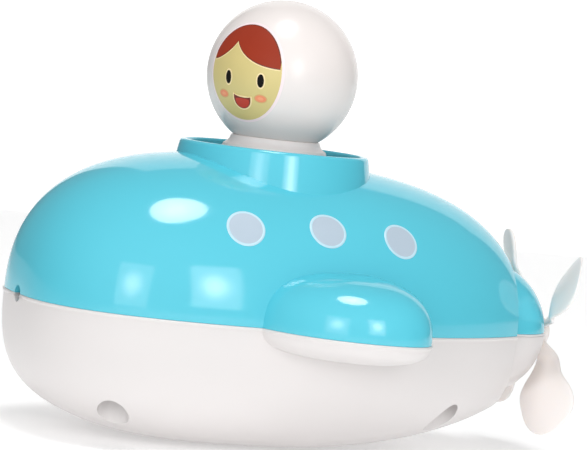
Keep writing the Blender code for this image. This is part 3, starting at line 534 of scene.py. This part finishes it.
def seam_edge(obj, level, into, rows, on_skin):
    """Shapes the outer edge of a shell at the seam."""
    rows = [(depth * MM, out * MM) for depth, out in rows]
    bm = bmesh.new()
    bm.from_mesh(obj.data)
    for depth, _ in rows:
        if depth:
            bmesh.ops.bisect_plane(bm, geom=bm.verts[:] + bm.edges[:] + bm.faces[:], dist=1e-7,
                                   plane_co=(0, 0, level + into * depth), plane_no=(0, 0, 1))
    bm.normal_update()
    moves = {}
    for vert in bm.verts:
        depth = (vert.co.z - level) * into
        row = next((row for row in rows if abs(row[0] - depth) < ROW_TOLERANCE), None)
        if row is None or not on_skin(vert.co):
            continue
        out = Vector((0, 0, 0))
        for face in vert.link_faces:
            if abs(face.normal.z) < STEEPEST_WALL:
                out += Vector((face.normal.x, face.normal.y, 0)) * face.calc_area()
        if out.length > 0:
            moves[vert] = out.normalized() * row[1]
    for vert, move in moves.items():
        vert.co += move
    bm.to_mesh(obj.data)
    bm.free()


def hull_shells():
    """The two shells of the hull. Returns the bare hull's tree, for what is laid on it."""
    forms = [
        hull_form("hull_outside", 0.0, 96, 60),
        coaming_form(),
        dome_form("dome_form", DOME_R, DOME_END_X, 96, 28),
        fin_form("port_fin_form", 1, 0.0, 72, 18),
        fin_form("starboard_fin_form", -1, 0.0, 72, 18),
    ]
    space = cockpit_space()
    sources = [source_normals(form) for form in forms + [space]]
    hull_tree = sources[0][0]
    outside = boolean(forms[0], forms[1:], "UNION")
    outside_tree = BVHTree.FromPolygons([v.co.copy() for v in outside.data.vertices],
                                        [tuple(p.vertices) for p in outside.data.polygons])
    inside = hull_inside()

    def on_skin(place):
        return outside_tree.find_nearest(place, 1 * MM)[0] is not None

    bush_hole = rod("bush_hole", BUSH_R + GAP, DOME_END_X - WALL, BUSH_X + WALL, along_x(0, SHAFT_Z), 48)
    upper = block("hull_upper_shell", (-0.12, -0.1, SEAM_Z + SEAM_GAP / 2), (0.12, 0.1, 0.15))
    boolean(upper, [copy_of(outside, "outside_copy")], "INTERSECT")
    tools = [copy_of(inside, "inside_copy"), space, copy_of(bush_hole, "bush_copy")]
    cockpit = upright(COCKPIT_X, 0)
    tools.append(rod("peg_hole", PEG_HOLE_R + GAP, FLOOR_Z - 2 * WALL, FLOOR_Z + WALL, cockpit, 48))
    for place in well_places():
        tools.append(rod("pilot", SCREW_R + GAP, SEAM_Z - WALL, SEAM_Z + 10 * MM, upright(*place), 20))
    boolean(upper, tools)

    lower = block("hull_lower_shell", (-0.12, -0.1, 0), (0.12, 0.1, SEAM_Z - SEAM_GAP / 2))
    boolean(lower, [outside], "INTERSECT")
    tools = [inside, bush_hole]
    for place in well_places():
        tools.append(rod("well", WELL_R, -GAP, SEAM_Z - WELL_CEILING, upright(*place), 64))
        tools.append(rod("well_hole", SCREW_R + GAP, -GAP, SEAM_Z + WALL, upright(*place), 24))
    boolean(lower, tools)

    for shell, into, edge, mat, node in ((upper, 1, SHARP_EDGE, TURQUOISE, "upper_hull"),
                                         (lower, -1, LIP_EDGE, WHITE, "lower_hull")):
        seam_edge(shell, SEAM_Z + into * SEAM_GAP / 2, into, edge, on_skin)
        finish_surface(shell, mat, 35)
        take_normals(shell, sources)
        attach(shell, "hull")
        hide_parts(node)
    return hull_tree


# ---------------- thin prints


FILM = 0.2 * MM


def film(name, rings, place, mat):
    """A thin print: rings of flat points from the middle out, laid on a curved surface by place(u, v)."""
    bm = bmesh.new()
    middle = bm.verts.new(place(*rings[0][0])) if len(rings[0]) == 1 else None
    made = [[bm.verts.new(place(*p)) for p in ring] for ring in (rings[1:] if middle else rings)]
    count = len(made[0])
    if middle:
        for i in range(count):
            bm.faces.new((middle, made[0][i], made[0][(i + 1) % count]))
    for inner, outer in zip(made, made[1:]):
        for i in range(count):
            k = (i + 1) % count
            bm.faces.new((inner[i], outer[i], outer[k], inner[k]))
    return thicken(name, bm, mat)


def thicken(name, bm, mat, centre=None):
    """Makes a thin solid of a sheet of faces, turned away from the centre if there is one."""
    bm.normal_update()
    mesh = bpy.data.meshes.new(name)
    bm.to_mesh(mesh)
    bm.free()
    mesh.shade_smooth()
    if centre is not None and sum(p.normal.dot(p.center - centre) for p in mesh.polygons) < 0:
        mesh.flip_normals()
    obj = link(name, mesh, mat)
    solid = obj.modifiers.new("Film", "SOLIDIFY")
    solid.thickness = FILM
    solid.offset = -1
    graph = bpy.context.evaluated_depsgraph_get()
    mesh = bpy.data.meshes.new_from_object(obj.evaluated_get(graph))
    obj.modifiers.clear()
    obj.data = mesh
    mesh.set_sharp_from_angle(angle=math.radians(40))
    return obj


def grow(boundary, centre, count):
    """Rings from a centre out to a boundary of flat points."""
    rings = [[centre]]
    for i in range(1, count + 1):
        rings.append(scaled(boundary, centre, i / count))
    return rings


def scaled(points, centre, k):
    return [(centre[0] + (u - centre[0]) * k, centre[1] + (v - centre[1]) * k) for u, v in points]


def oval(centre, half_width, half_height, tilt=0.0, count=72):
    c, s = math.cos(math.radians(tilt)), math.sin(math.radians(tilt))
    points = []
    for i in range(count):
        a = math.tau * i / count
        x, y = math.cos(a) * half_width, math.sin(a) * half_height
        points.append((centre[0] + c * x - s * y, centre[1] + s * x + c * y))
    return points


# ---------------- portholes


PORTHOLE_PLACES = ((38.2 * MM, 28.9 * MM), (11.2 * MM, 30.1 * MM), (-14.4 * MM, 28.6 * MM))
PORTHOLE_R, PORTHOLE_EDGE, DISC_LIFT = 6.1 * MM, 0.8 * MM, 0.16 * MM
# The pale edge from its inner line out: the share of its width still to come, and its height above the hull.
EDGE_ROWS = ((1.0, 0.15 * MM), (0.6, 0.24 * MM), (0.3, 0.22 * MM), (0.0, 0.06 * MM))
OUTSIDE, ABOVE_SKIN = 0.1, 0.01


def portholes(hull_tree):
    """Three printed portholes on each side: a pale disc in a slightly raised paler edge."""
    middle = (0, 0)
    for side, word in ((1, "port"), (-1, "starboard")):
        for number, (x, z) in enumerate(PORTHOLE_PLACES, 1):
            start = Vector((x, side * OUTSIDE, SEAM_Z + z))
            hit, normal, _, _ = hull_tree.ray_cast(start, Vector((0, -side, 0)))
            bow = (Vector((1, 0, 0)) - normal * normal.x).normalized()
            up = normal.cross(bow) * side

            def place(u, v, lift, hit=hit, normal=normal, bow=bow, up=up):
                aim = hit + bow * u + up * v + normal * ABOVE_SKIN
                found, skin, _, _ = hull_tree.ray_cast(aim, -normal)
                return found + skin * lift

            inner = PORTHOLE_R - PORTHOLE_EDGE
            disc = film(f"porthole_{word}_{number}", grow(oval(middle, inner, inner), middle, 8),
                        lambda u, v: place(u, v, DISC_LIFT), PORTHOLE)
            rings = []
            for share, lift in EDGE_ROWS:
                radius = PORTHOLE_R - PORTHOLE_EDGE * share
                rings.append([(u, v, lift) for u, v in oval(middle, radius, radius)])
            ring = film(f"porthole_edge_{word}_{number}", rings, place, PORTHOLE_RING)
            for piece in (disc, ring):
                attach(piece, "hull")


# ---------------- passenger


def gown_profile(foot):
    """The gown's outline: a neck ring with a seat for the head, a skirt, and a hollow inside."""
    seat_r = HEAD_R + GAP
    plug_r, waist = NECK_HOLE_R - GAP, RIM_Z
    neck_z, plug_low = (HEAD_Z - math.sqrt(seat_r**2 - r**2) for r in (NECK_R, plug_r))
    plug_top = plug_low + 4.2 * MM
    outer = [(NECK_R - 0.4 * MM, neck_z + 0.05 * MM)]
    outer += arc((NECK_R - 0.2 * MM, neck_z - 0.55 * MM), 0.6 * MM, 80, 10, 4)
    neck = (NECK_R + 0.5 * MM, neck_z - 0.9 * MM)
    for t in (i / 12 for i in range(1, 13)):
        hollow = 0.35 * MM * math.sin(math.pi * t)
        outer.append((neck[0] + (SKIRT_TOP_R - neck[0]) * t - hollow, neck[1] + (waist - neck[1]) * t))
    for t in (i / 16 for i in range(1, 17)):
        flare = (SKIRT_R - SKIRT_TOP_R) * math.sin(math.pi / 2 * t)
        outer.append((SKIRT_TOP_R + flare, waist - 17 * MM * t))
    outer.append((SKIRT_R, foot + 0.8 * MM))
    outer += arc((SKIRT_R - 0.6 * MM, foot + 0.6 * MM), 0.6 * MM, 0, -90, 4)
    hem_r, bore_r = SKIRT_R - SKIRT_WALL, plug_r - 2 * MM
    return outer + [
        (hem_r, foot), (hem_r, waist - 18 * MM), (SKIRT_TOP_R - 1.2 * MM, waist - 4 * MM),
        (bore_r, plug_low - 3 * MM), (bore_r, plug_top), (plug_r, plug_top), (plug_r, plug_low),
    ]


def base_profile():
    """The disc inside the skirt, with the socket that slides on the peg."""
    low = FLOOR_Z + 2 * GAP + 2 * MM
    shoulder = low + 2.2 * MM
    socket_r, socket_top = PEG_R + GAP, PEG_TOP + GAP
    wall_r, disc_r = socket_r + 1.8 * MM, SKIRT_R - SKIRT_WALL - GAP
    return [
        (0, socket_top + 2 * MM), (socket_r + 1.4 * MM, socket_top + 2 * MM), (wall_r, socket_top + 1.6 * MM),
        (wall_r, shoulder + 0.6 * MM), (wall_r + 0.6 * MM, shoulder), (disc_r, shoulder), (disc_r, low),
        (socket_r, low), (socket_r, socket_top), (0, socket_top),
    ]


def passenger():
    top = upright(COCKPIT_X, 0)
    inner_r = HEAD_R - HEAD_WALL
    outer_angle, inner_angle = (math.degrees(math.acos(NECK_HOLE_R / r)) for r in (HEAD_R, inner_r))
    profile = arc((0, HEAD_Z), HEAD_R, 90, -outer_angle, 64) + arc((0, HEAD_Z), inner_r, -inner_angle, 90, 12)
    profile[0] = (0, profile[0][1])
    profile[-1] = (0, profile[-1][1])
    head = turned("passenger_hood", profile, top, 128, HOOD)
    body = turned("passenger_gown", gown_profile(FLOOR_Z + 0.8 * MM), top, 128, COLLAR)
    plate = turned("passenger_floor_disc", base_profile(), top, 96, COLLAR)
    for piece, node in ((head, "passenger_head"), (body, "passenger_body"), (plate, "passenger_base")):
        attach(piece, "passenger")
        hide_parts(node)


def face_place(lift):
    """Lays flat points, in degrees from the middle of the face, on the head."""
    out = Vector((math.cos(FACE_ELEVATION) * math.cos(FACE_AZIMUTH),
                  math.cos(FACE_ELEVATION) * math.sin(FACE_AZIMUTH), math.sin(FACE_ELEVATION)))
    right = Vector((-math.sin(FACE_AZIMUTH), math.cos(FACE_AZIMUTH), 0))
    up = out.cross(right)

    def place(u, v):
        far = math.radians(math.hypot(u, v))
        if far < 1e-9:
            return HEAD_CENTRE + out * (HEAD_R + lift)
        across = (right * u + up * v).normalized()
        return HEAD_CENTRE + (out * math.cos(far) + across * math.sin(far)) * (HEAD_R + lift)

    return place


def bezier(points, count):
    """Points along a cubic curve from four control points."""
    (ax, ay), (bx, by), (cx, cy), (dx, dy) = points
    line = []
    for i in range(count + 1):
        t = i / count
        k0, k1, k2, k3 = (1 - t) ** 3, 3 * t * (1 - t) ** 2, 3 * t * t * (1 - t), t**3
        line.append((k0 * ax + k1 * bx + k2 * cx + k3 * dx, k0 * ay + k1 * by + k2 * cy + k3 * dy))
    return line


# The printed face, in degrees from its middle as seen from the head's centre.
MIDDLE = (0, 0)
FACE_TILT, FACE_W, FACE_H, FACE_BORDER = 4.0, 31.9, 38.2, 2.2
# Two locks of hair part to one side. Each is the lower line of the hair that fills the oval above it.
PARTING = (-8.6, 22.6)
LOCKS = {
    "hair_right_lock": (PARTING, (-12.5, 14.6), (-21.0, 8.8), (-30.0, 7.8)),
    "hair_left_lock": (PARTING, (-2.0, 11.5), (12.0, 4.2), (30.4, 4.6)),
}
# Each print of a lock: how far it grows downwards, its distance inside the oval, lift in mm, look and suffix.
HAIR_LAYERS = (
    (1.1, 0.05, 0.12, OUTLINE, "_outline"),
    (0.15, 0.05, 0.15, HAIR_EDGE, "_edge"),
    (-0.6, 0.85, 0.18, HAIR, ""),
)
LOCK_STEPS, LOCK_ROWS = 26, 12
# Each eye and cheek is drawn in layers of ovals: suffix, half width, half height, rings, lift in mm and look.
EYE_LAYERS = (("_outline", 3.6, 6.2, 5, 0.13, OUTLINE), ("", 2.6, 5.0, 5, 0.18, EYE))
CHEEK_LAYERS = (("_edge", 5.2, 3.4, 5, 0.11, BLUSH_SOFT), ("", 4.3, 2.6, 5, 0.13, BLUSH),
                ("_middle", 2.3, 1.2, 4, 0.16, BLUSH_PALE))
FEATURES = (
    ("eye_right", (-11.2, -5.2), 2, EYE_LAYERS), ("eye_left", (16.6, -5.6), 2, EYE_LAYERS),
    ("cheek_right", (-16.4, -18.2), -4, CHEEK_LAYERS), ("cheek_left", (16.8, -19.2), -4, CHEEK_LAYERS),
)


def lock_of_hair(curve, grown, inset):
    """Rows of points from a lock's lower line up to the oval's edge."""
    lower = bezier(curve, LOCK_STEPS)
    upper = [edge_above(u, v, FACE_W - inset, FACE_H - inset) for u, v in lower]
    starts = [min(low[1] - grown, high[1]) for low, high in zip(lower, upper)]
    return [[(low[0], start + (high[1] - start) * row / LOCK_ROWS)
             for low, high, start in zip(lower, upper, starts)] for row in range(LOCK_ROWS + 1)]


def face_print():
    pieces = []

    def add(name, rings, lift, mat):
        pieces.append(film(name, rings, face_place(lift * MM), mat))

    border = oval(MIDDLE, FACE_W + FACE_BORDER, FACE_H + FACE_BORDER, FACE_TILT)
    add("face_border", grow(border, MIDDLE, 14), 0.05, FACE_EDGE)
    add("face_skin", grow(oval(MIDDLE, FACE_W, FACE_H, FACE_TILT), MIDDLE, 14), 0.10, SKIN)
    for grown, inset, lift, mat, suffix in HAIR_LAYERS:
        for name, curve in LOCKS.items():
            sheet = lock_of_hair(curve, grown, inset)
            pieces.append(strip(name + suffix, sheet, face_place(lift * MM), mat))
    for name, place, tilt, layers in FEATURES:
        for suffix, half_w, half_h, rings, lift, mat in layers:
            add(name + suffix, grow(oval(place, half_w, half_h, tilt), place, rings), lift, mat)
    for name, grown, lift, mat in (("mouth_outline", 1.1, 0.13, OUTLINE), ("lip", 0.0, 0.17, LIP)):
        add(name, grow(smile(grown), (1.8, -21.5), 6), lift, mat)
    tongue = bezier(((-4.0, -20.3), (-2.0, -19.6), (5.4, -19.8), (7.6, -20.9)), 16)
    tongue += bezier(((7.6, -20.9), (8.4, -29.6), (-5.0, -29.4), (-4.0, -20.3)), 24)[1:-1]
    add("mouth", grow(tongue, (1.8, -23.0), 6), 0.20, MOUTH)
    for piece in pieces:
        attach(piece, "passenger")


def edge_above(u, v, half_w, half_h):
    """The point of the face's oval above a point inside it."""
    low, high = v, v + 90.0
    c, s = math.cos(math.radians(FACE_TILT)), math.sin(math.radians(FACE_TILT))

    def inside(height):
        x, y = c * u + s * height, -s * u + c * height
        return (x / half_w) ** 2 + (y / half_h) ** 2 <= 1

    if not inside(low):
        return (u, v)
    for _ in range(40):
        middle = (low + high) / 2
        low, high = (middle, high) if inside(middle) else (low, middle)
    return (u, low)


def strip(name, sheet, place, mat):
    """A thin print from rows of equally many flat points."""
    bm = bmesh.new()
    made = [[bm.verts.new(place(u, v)) for u, v in row] for row in sheet]
    for low, high in zip(made, made[1:]):
        for i in range(len(low) - 1):
            bm.faces.new((low[i], low[i + 1], high[i + 1], high[i]))
    bmesh.ops.remove_doubles(bm, verts=bm.verts, dist=0.02 * MM)
    return thicken(name, bm, mat, HEAD_CENTRE)


def smile(grown):
    """An open smile: a hollowed upper lip and a round lower one."""
    upper = bezier(((-5.4, -17.2), (-2.0, -19.4), (5.6, -19.8), (8.8, -18.6)), 18)
    lower = bezier(((8.8, -18.6), (10.4, -31.4), (-7.2, -31.0), (-5.4, -17.2)), 30)[1:-1]
    outline = upper + lower
    middle = (1.8, -22.5)
    points = []
    for u, v in outline:
        far = math.hypot(u - middle[0], v - middle[1])
        k = (far + grown) / far
        points.append((middle[0] + (u - middle[0]) * k, middle[1] + (v - middle[1]) * k))
    return points


# ---------------- propeller


def blade_point(share, lead, lift):
    """A point of the blade that stands up along Z. lead goes across it, and lift through it."""
    radius = BLADE_ROOT_R + (BLADE_TIP_R - BLADE_ROOT_R) * share
    lean = min(1.0, max(0.0, (radius - LEAN_START) / (LEAN_END - LEAN_START)))
    forward = BLADE_X + BLADE_LEAN * lean * lean * (3 - 2 * lean) + BLADE_RAKE * share
    pitch = BLADE_PITCH + BLADE_TWIST * (share - TWIST_FROM)
    along = -lead * math.sin(pitch) + lift * math.cos(pitch)
    across = lead * math.cos(pitch) + lift * math.sin(pitch)
    return Vector((forward + along, across, radius))


def blade_half_width(share):
    widening = ((share + BLADE_START_SHARE) / (1 + BLADE_START_SHARE)) ** BLADE_WIDENING
    return BLADE_HALF_WIDTH * BLADE_FULLNESS * widening * math.sqrt(max(0.0, 1 - share**BLADE_TIP))


def blade(number):
    """A thin cupped blade with rounded edges."""
    stations, flat, bend = 34, 12, 4
    bends = [math.pi * i / (2 * bend) for i in range(1, 2 * bend)]
    rings = []
    for station in range(stations):
        share = math.sin(math.pi / 2 * station / stations)
        half = blade_half_width(share)
        thick = BLADE_THICKNESS / 2 * min(1.0, 1.6 * (1 - share) ** 0.35 + 0.02)
        edge = min(half, thick)
        outline = [(-half + edge + 2 * (half - edge) * i / flat, thick) for i in range(flat + 1)]
        outline += [(half - edge + edge * math.sin(a), thick * math.cos(a)) for a in bends]
        outline += [(half - edge - 2 * (half - edge) * i / flat, -thick) for i in range(flat + 1)]
        outline += [(-half + edge - edge * math.sin(a), -thick * math.cos(a)) for a in bends]
        ring = []
        for lead, lift in outline:
            cup = BLADE_CUP * (lead / BLADE_HALF_WIDTH) ** 2
            ring.append(blade_point(share, lead, lift - cup))
        rings.append(ring)
    turn = BLADE_START + math.tau * number / BLADES - math.pi / 2
    place = Matrix.Translation((0, 0, SHAFT_Z)) @ Matrix.Rotation(turn, 4, "X")
    rings = [[place @ p for p in ring] for ring in rings]
    name = f"blade_{number + 1}"
    return link(name, mesh_from(loft(rings, True, place @ blade_point(1.0, 0, 0)), name, 0))


def propeller():
    """The hub and four blades as one moulding, with its cap."""
    end, line = HUB_X - HUB_LENGTH, along_x(0, SHAFT_Z)
    profile = [(0, HUB_X)] + arc((HUB_R - 0.6 * MM, HUB_X - 0.6 * MM), 0.6 * MM, 90, 0, 4)
    profile += arc((HUB_R - MM, end + MM), MM, 0, -90, 6) + [(0, end)]
    hub = turned("propeller_moulding", profile, line, 72)
    boolean(hub, [blade(n) for n in range(BLADES)], "UNION")
    boolean(hub, [
        rod("hub_bore", SHAFT_R + GAP, end + 0.9 * MM, HUB_X + WALL, line, 32),
        rod("cap_seat", 3.0 * MM, end - MM, end + 1.2 * MM, line, 48),
    ])
    finish_surface(hub, BLADE_WHITE, 50)
    cap_r = 2.7 * MM
    cap = [(0, end + 0.9 * MM), (cap_r, end + 0.9 * MM), (cap_r, end + 0.2 * MM)]
    for angle in (math.pi / 2 * i / 8 for i in range(9)):
        cap.append((cap_r * math.cos(angle), end + 0.1 * MM - 0.5 * MM * math.sin(angle)))
    cap[-1] = (0, cap[-1][1])
    cap = turned("propeller_boss_cap", cap, line, 64, BLADE_WHITE)
    for piece, node in ((hub, "propeller"), (cap, "propeller_cap")):
        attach(piece, "propeller_unit")
        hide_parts(node)


# ---------------- carried-over pieces


def dress_nodes():
    """Gives each solid that stays in view its own look."""
    looks = {
        "ballast_bar": BAR, "clockwork_case": CASE, "clockwork_lid": CASE, "lid_seal": RUBBER,
        "shaft_seal": RUBBER, "lay_wheel": GEAR, "lay_pinion": GEAR, "spring_wheel": GEAR,
        "propeller_pinion": GEAR, "lay_shaft": ROD, "spring_arbor": ROD, "propeller_shaft": ROD,
        "mainspring": SPRING, "stern_bush": BEARING, "swivel_peg": BEARING, "peg_washer": STEEL,
    }
    for name, node in NODES.items():
        mat = looks.get(name, STEEL if "screw" in name else None)
        if mat is None:
            continue
        if not node.material_slots:
            node.data.materials.append(mat)
        for place in node.material_slots:
            place.material = mat


# ---------------- camera, light and floor

# The camera: its heading from the beam towards the bow, its height and its roll, then what it looks at.
CAMERA_TURN, CAMERA_RISE, CAMERA_ROLL = math.radians(24.684), math.radians(3.727), math.radians(6.392)
CAMERA_AIM, CAMERA_DISTANCE = Vector((2.85 * MM, 0, SEAM_Z + 27.93 * MM)), 911.4 * MM
CAMERA_LENS, CAMERA_SENSOR = 174.4, 36.0
FLOOR_LIGHT, BACKDROP_LIGHT = 0.27, 0.4
FLOOR_SIZE, FLOOR_DROP = 8.0, 0.2 * MM
# The floor's colour and glow fade to one side, painted shade that dims what the bow reflects: its direction,
# where the fade starts and ends, what is left.
FLOOR_EDGE_SIDE, FLOOR_FADE, FLOOR_ASIDE = (0.909, -0.418), (0.3, 0.62), 0.6
BACKDROP_Y, BACKDROP_BEND, BACKDROP_TOP = -1.6, 0.35, 1.9
BACKDROP_ENDS = (-3.0, -0.17)
# The room is brightest towards a compass angle from +Y to +X and a height, both in degrees. Each lobe adds
# its brightness times a power of how nearly a direction agrees with it.
ROOM_LOBES = ((30, 15, 0.56, 3.0), (0, 90, 0.34, 1.0))
# Each lamp: name, place, size in metres, brightness at its edge and middle where 1 is display white, shape.
LAMPS = (
    ("overhead_softbox", (0.135, 0.23, 1.37), (0.46, 0.62), 9.0, 12.5, "ELLIPSE"),
    ("bow_softbox", (0.846, 1.011, 0.375), (0.50, 0.72), 1.4, 5.8, "RECTANGLE"),
    ("side_softbox", (0.045, 1.27, 0.44), (0.38, 0.68), 2.4, 8.8, "RECTANGLE"),
)
LAMP_AIM = Vector((0.02, 0.03, 0.07))
DIFFUSER_REACH = 0.46


def studio_camera():
    turn, rise, roll = CAMERA_TURN, CAMERA_RISE, CAMERA_ROLL
    back = Vector((math.sin(turn) * math.cos(rise), math.cos(turn) * math.cos(rise), math.sin(rise)))
    ahead = -back
    right = ahead.cross(Vector((0, 0, 1))).normalized()
    up = right.cross(ahead)
    side = right * math.cos(roll) + up * math.sin(roll)
    top = up * math.cos(roll) - right * math.sin(roll)
    data = bpy.data.cameras.new("studio_camera")
    data.sensor_fit = "HORIZONTAL"
    data.sensor_width = CAMERA_SENSOR
    data.lens = CAMERA_LENS
    data.clip_start, data.clip_end = 0.05, 20.0
    camera = bpy.data.objects.new("studio_camera", data)
    bpy.context.scene.collection.objects.link(camera)
    axes = Matrix((side, top, back)).transposed().to_4x4()
    camera.matrix_world = Matrix.Translation(CAMERA_AIM + back * CAMERA_DISTANCE) @ axes
    bpy.context.scene.camera = camera


def floor_and_backdrop():
    bm = bmesh.new()
    bmesh.ops.create_grid(bm, x_segments=2, y_segments=2, size=FLOOR_SIZE)
    floor = link("studio_floor", mesh_from(bm, "studio_floor", 0), paper("floor_paper", FLOOR_LIGHT))
    floor.location.z = -FLOOR_DROP
    fade_aside(floor.data.materials[0])

    bend = arc((BACKDROP_Y + BACKDROP_BEND, BACKDROP_BEND), BACKDROP_BEND, -90, -180, 24)
    sweep = [(BACKDROP_Y + 2 * BACKDROP_BEND, 0)] + bend + [(BACKDROP_Y, BACKDROP_TOP)]
    sheet = loft([[(x, y, z) for x in BACKDROP_ENDS] for y, z in sweep], close=False)
    mesh = mesh_from(sheet, "studio_backdrop", 80)
    backdrop = link("studio_backdrop", mesh, paper("backdrop_paper", BACKDROP_LIGHT))


def softboxes():
    for name, place, size, edge, core, shape in LAMPS:
        light = bpy.data.lights.new(name, "AREA")
        light.shape = shape
        light.size, light.size_y = size
        round_share = math.pi / 4 if shape == "ELLIPSE" else 1.0
        light.energy = math.pi * size[0] * size[1] * round_share
        diffuser(light, edge, core)
        lamp = bpy.data.objects.new(name, light)
        bpy.context.scene.collection.objects.link(lamp)
        lamp.location = place
        lamp.rotation_euler = (LAMP_AIM - Vector(place)).to_track_quat("-Z", "Y").to_euler()


def studio():
    studio_camera()
    bpy.context.scene.view_settings.view_transform = "Standard"
    world = bpy.data.worlds.new("studio_world")
    world.use_nodes = True
    room(world.node_tree)
    bpy.context.scene.world = world
    floor_and_backdrop()
    softboxes()


def paper(name, glow):
    """White seamless paper, which glows a little so that it stays white in the object's own light."""
    mat = material(name, (0.9, 0.9, 0.9), 0.8, variation=0.005, scale=3, bump=0.01, bump_scale=200)
    shader = mat.node_tree.nodes["Principled BSDF"]
    shader.inputs["Emission Color"].default_value = (1, 1, 1, 1)
    shader.inputs["Emission Strength"].default_value = glow
    return mat


def fade_aside(mat):
    """Darkens the floor's colour and glow beyond the bow: painted shade that dims the floor's reflection in
    the bow.
    """
    nodes, links = mat.node_tree.nodes, mat.node_tree.links
    shader, tint = nodes["Principled BSDF"], nodes["Color Ramp"]
    place = nodes.new("ShaderNodeNewGeometry")
    across = nodes.new("ShaderNodeVectorMath")
    across.operation = "DOT_PRODUCT"
    across.inputs[1].default_value = (*FLOOR_EDGE_SIDE, 0)
    links.new(place.outputs["Position"], across.inputs[0])
    fade = nodes.new("ShaderNodeMapRange")
    fade.interpolation_type = "SMOOTHSTEP"
    fade.inputs["From Min"].default_value, fade.inputs["From Max"].default_value = FLOOR_FADE
    fade.inputs["To Min"].default_value, fade.inputs["To Max"].default_value = 1.0, FLOOR_ASIDE
    links.new(across.outputs["Value"], fade.inputs["Value"])
    for source, socket in ((tint.outputs["Color"], "Base Color"), (None, "Emission Color")):
        mix = nodes.new("ShaderNodeVectorMath")
        mix.operation = "MULTIPLY"
        mix.inputs[0].default_value = (1, 1, 1)
        if source:
            links.new(source, mix.inputs[0])
        links.new(fade.outputs["Result"], mix.inputs[1])
        links.new(mix.outputs["Vector"], shader.inputs[socket])


def room(tree):
    """A plain room whose brightness changes smoothly with direction."""
    nodes, links = tree.nodes, tree.links
    place = nodes.new("ShaderNodeTexCoord")
    unit = nodes.new("ShaderNodeVectorMath")
    unit.operation = "NORMALIZE"
    links.new(place.outputs["Generated"], unit.inputs[0])
    total = None
    for azimuth, height, strength, power in ROOM_LOBES:
        a, h = math.radians(azimuth), math.radians(height)
        towards = nodes.new("ShaderNodeVectorMath")
        towards.operation = "DOT_PRODUCT"
        towards.inputs[1].default_value = (math.sin(a) * math.cos(h), math.cos(a) * math.cos(h), math.sin(h))
        links.new(unit.outputs["Vector"], towards.inputs[0])
        share = nodes.new("ShaderNodeMath")
        share.operation = "MULTIPLY_ADD"
        share.inputs[1].default_value = share.inputs[2].default_value = 0.5
        links.new(towards.outputs["Value"], share.inputs[0])
        lobe = nodes.new("ShaderNodeMath")
        lobe.operation = "POWER"
        lobe.inputs[1].default_value = power
        links.new(share.outputs["Value"], lobe.inputs[0])
        add = nodes.new("ShaderNodeMath")
        add.operation = "MULTIPLY_ADD"
        add.inputs[1].default_value = strength
        add.inputs[2].default_value = 0.0
        links.new(lobe.outputs["Value"], add.inputs[0])
        if total:
            links.new(total.outputs["Value"], add.inputs[2])
        total = add
    links.new(total.outputs["Value"], nodes["Background"].inputs["Strength"])
    nodes["Background"].inputs["Color"].default_value = (1, 1, 1, 1)


def diffuser(light, edge, core):
    """A softbox's cloth: brightest in the middle, where its bulb is, and even towards its edges."""
    light.use_nodes = True
    nodes, links = light.node_tree.nodes, light.node_tree.links
    emission = nodes["Emission"]
    place = nodes.new("ShaderNodeNewGeometry")
    centre = nodes.new("ShaderNodeVectorMath")
    centre.operation = "DISTANCE"
    centre.inputs[1].default_value = (0.5, 0.5, 0)
    links.new(place.outputs["Parametric"], centre.inputs[0])
    fall = nodes.new("ShaderNodeMapRange")
    fall.interpolation_type = "SMOOTHERSTEP"
    fall.inputs["From Min"].default_value = 0.0
    fall.inputs["From Max"].default_value = DIFFUSER_REACH
    fall.inputs["To Min"].default_value = core
    fall.inputs["To Max"].default_value = edge
    links.new(centre.outputs["Value"], fall.inputs["Value"])
    links.new(fall.outputs["Result"], emission.inputs["Strength"])


# ---------------- assembly

HULL_TREE = hull_shells()
portholes(HULL_TREE)
passenger()
face_print()
propeller()
dress_nodes()
studio()
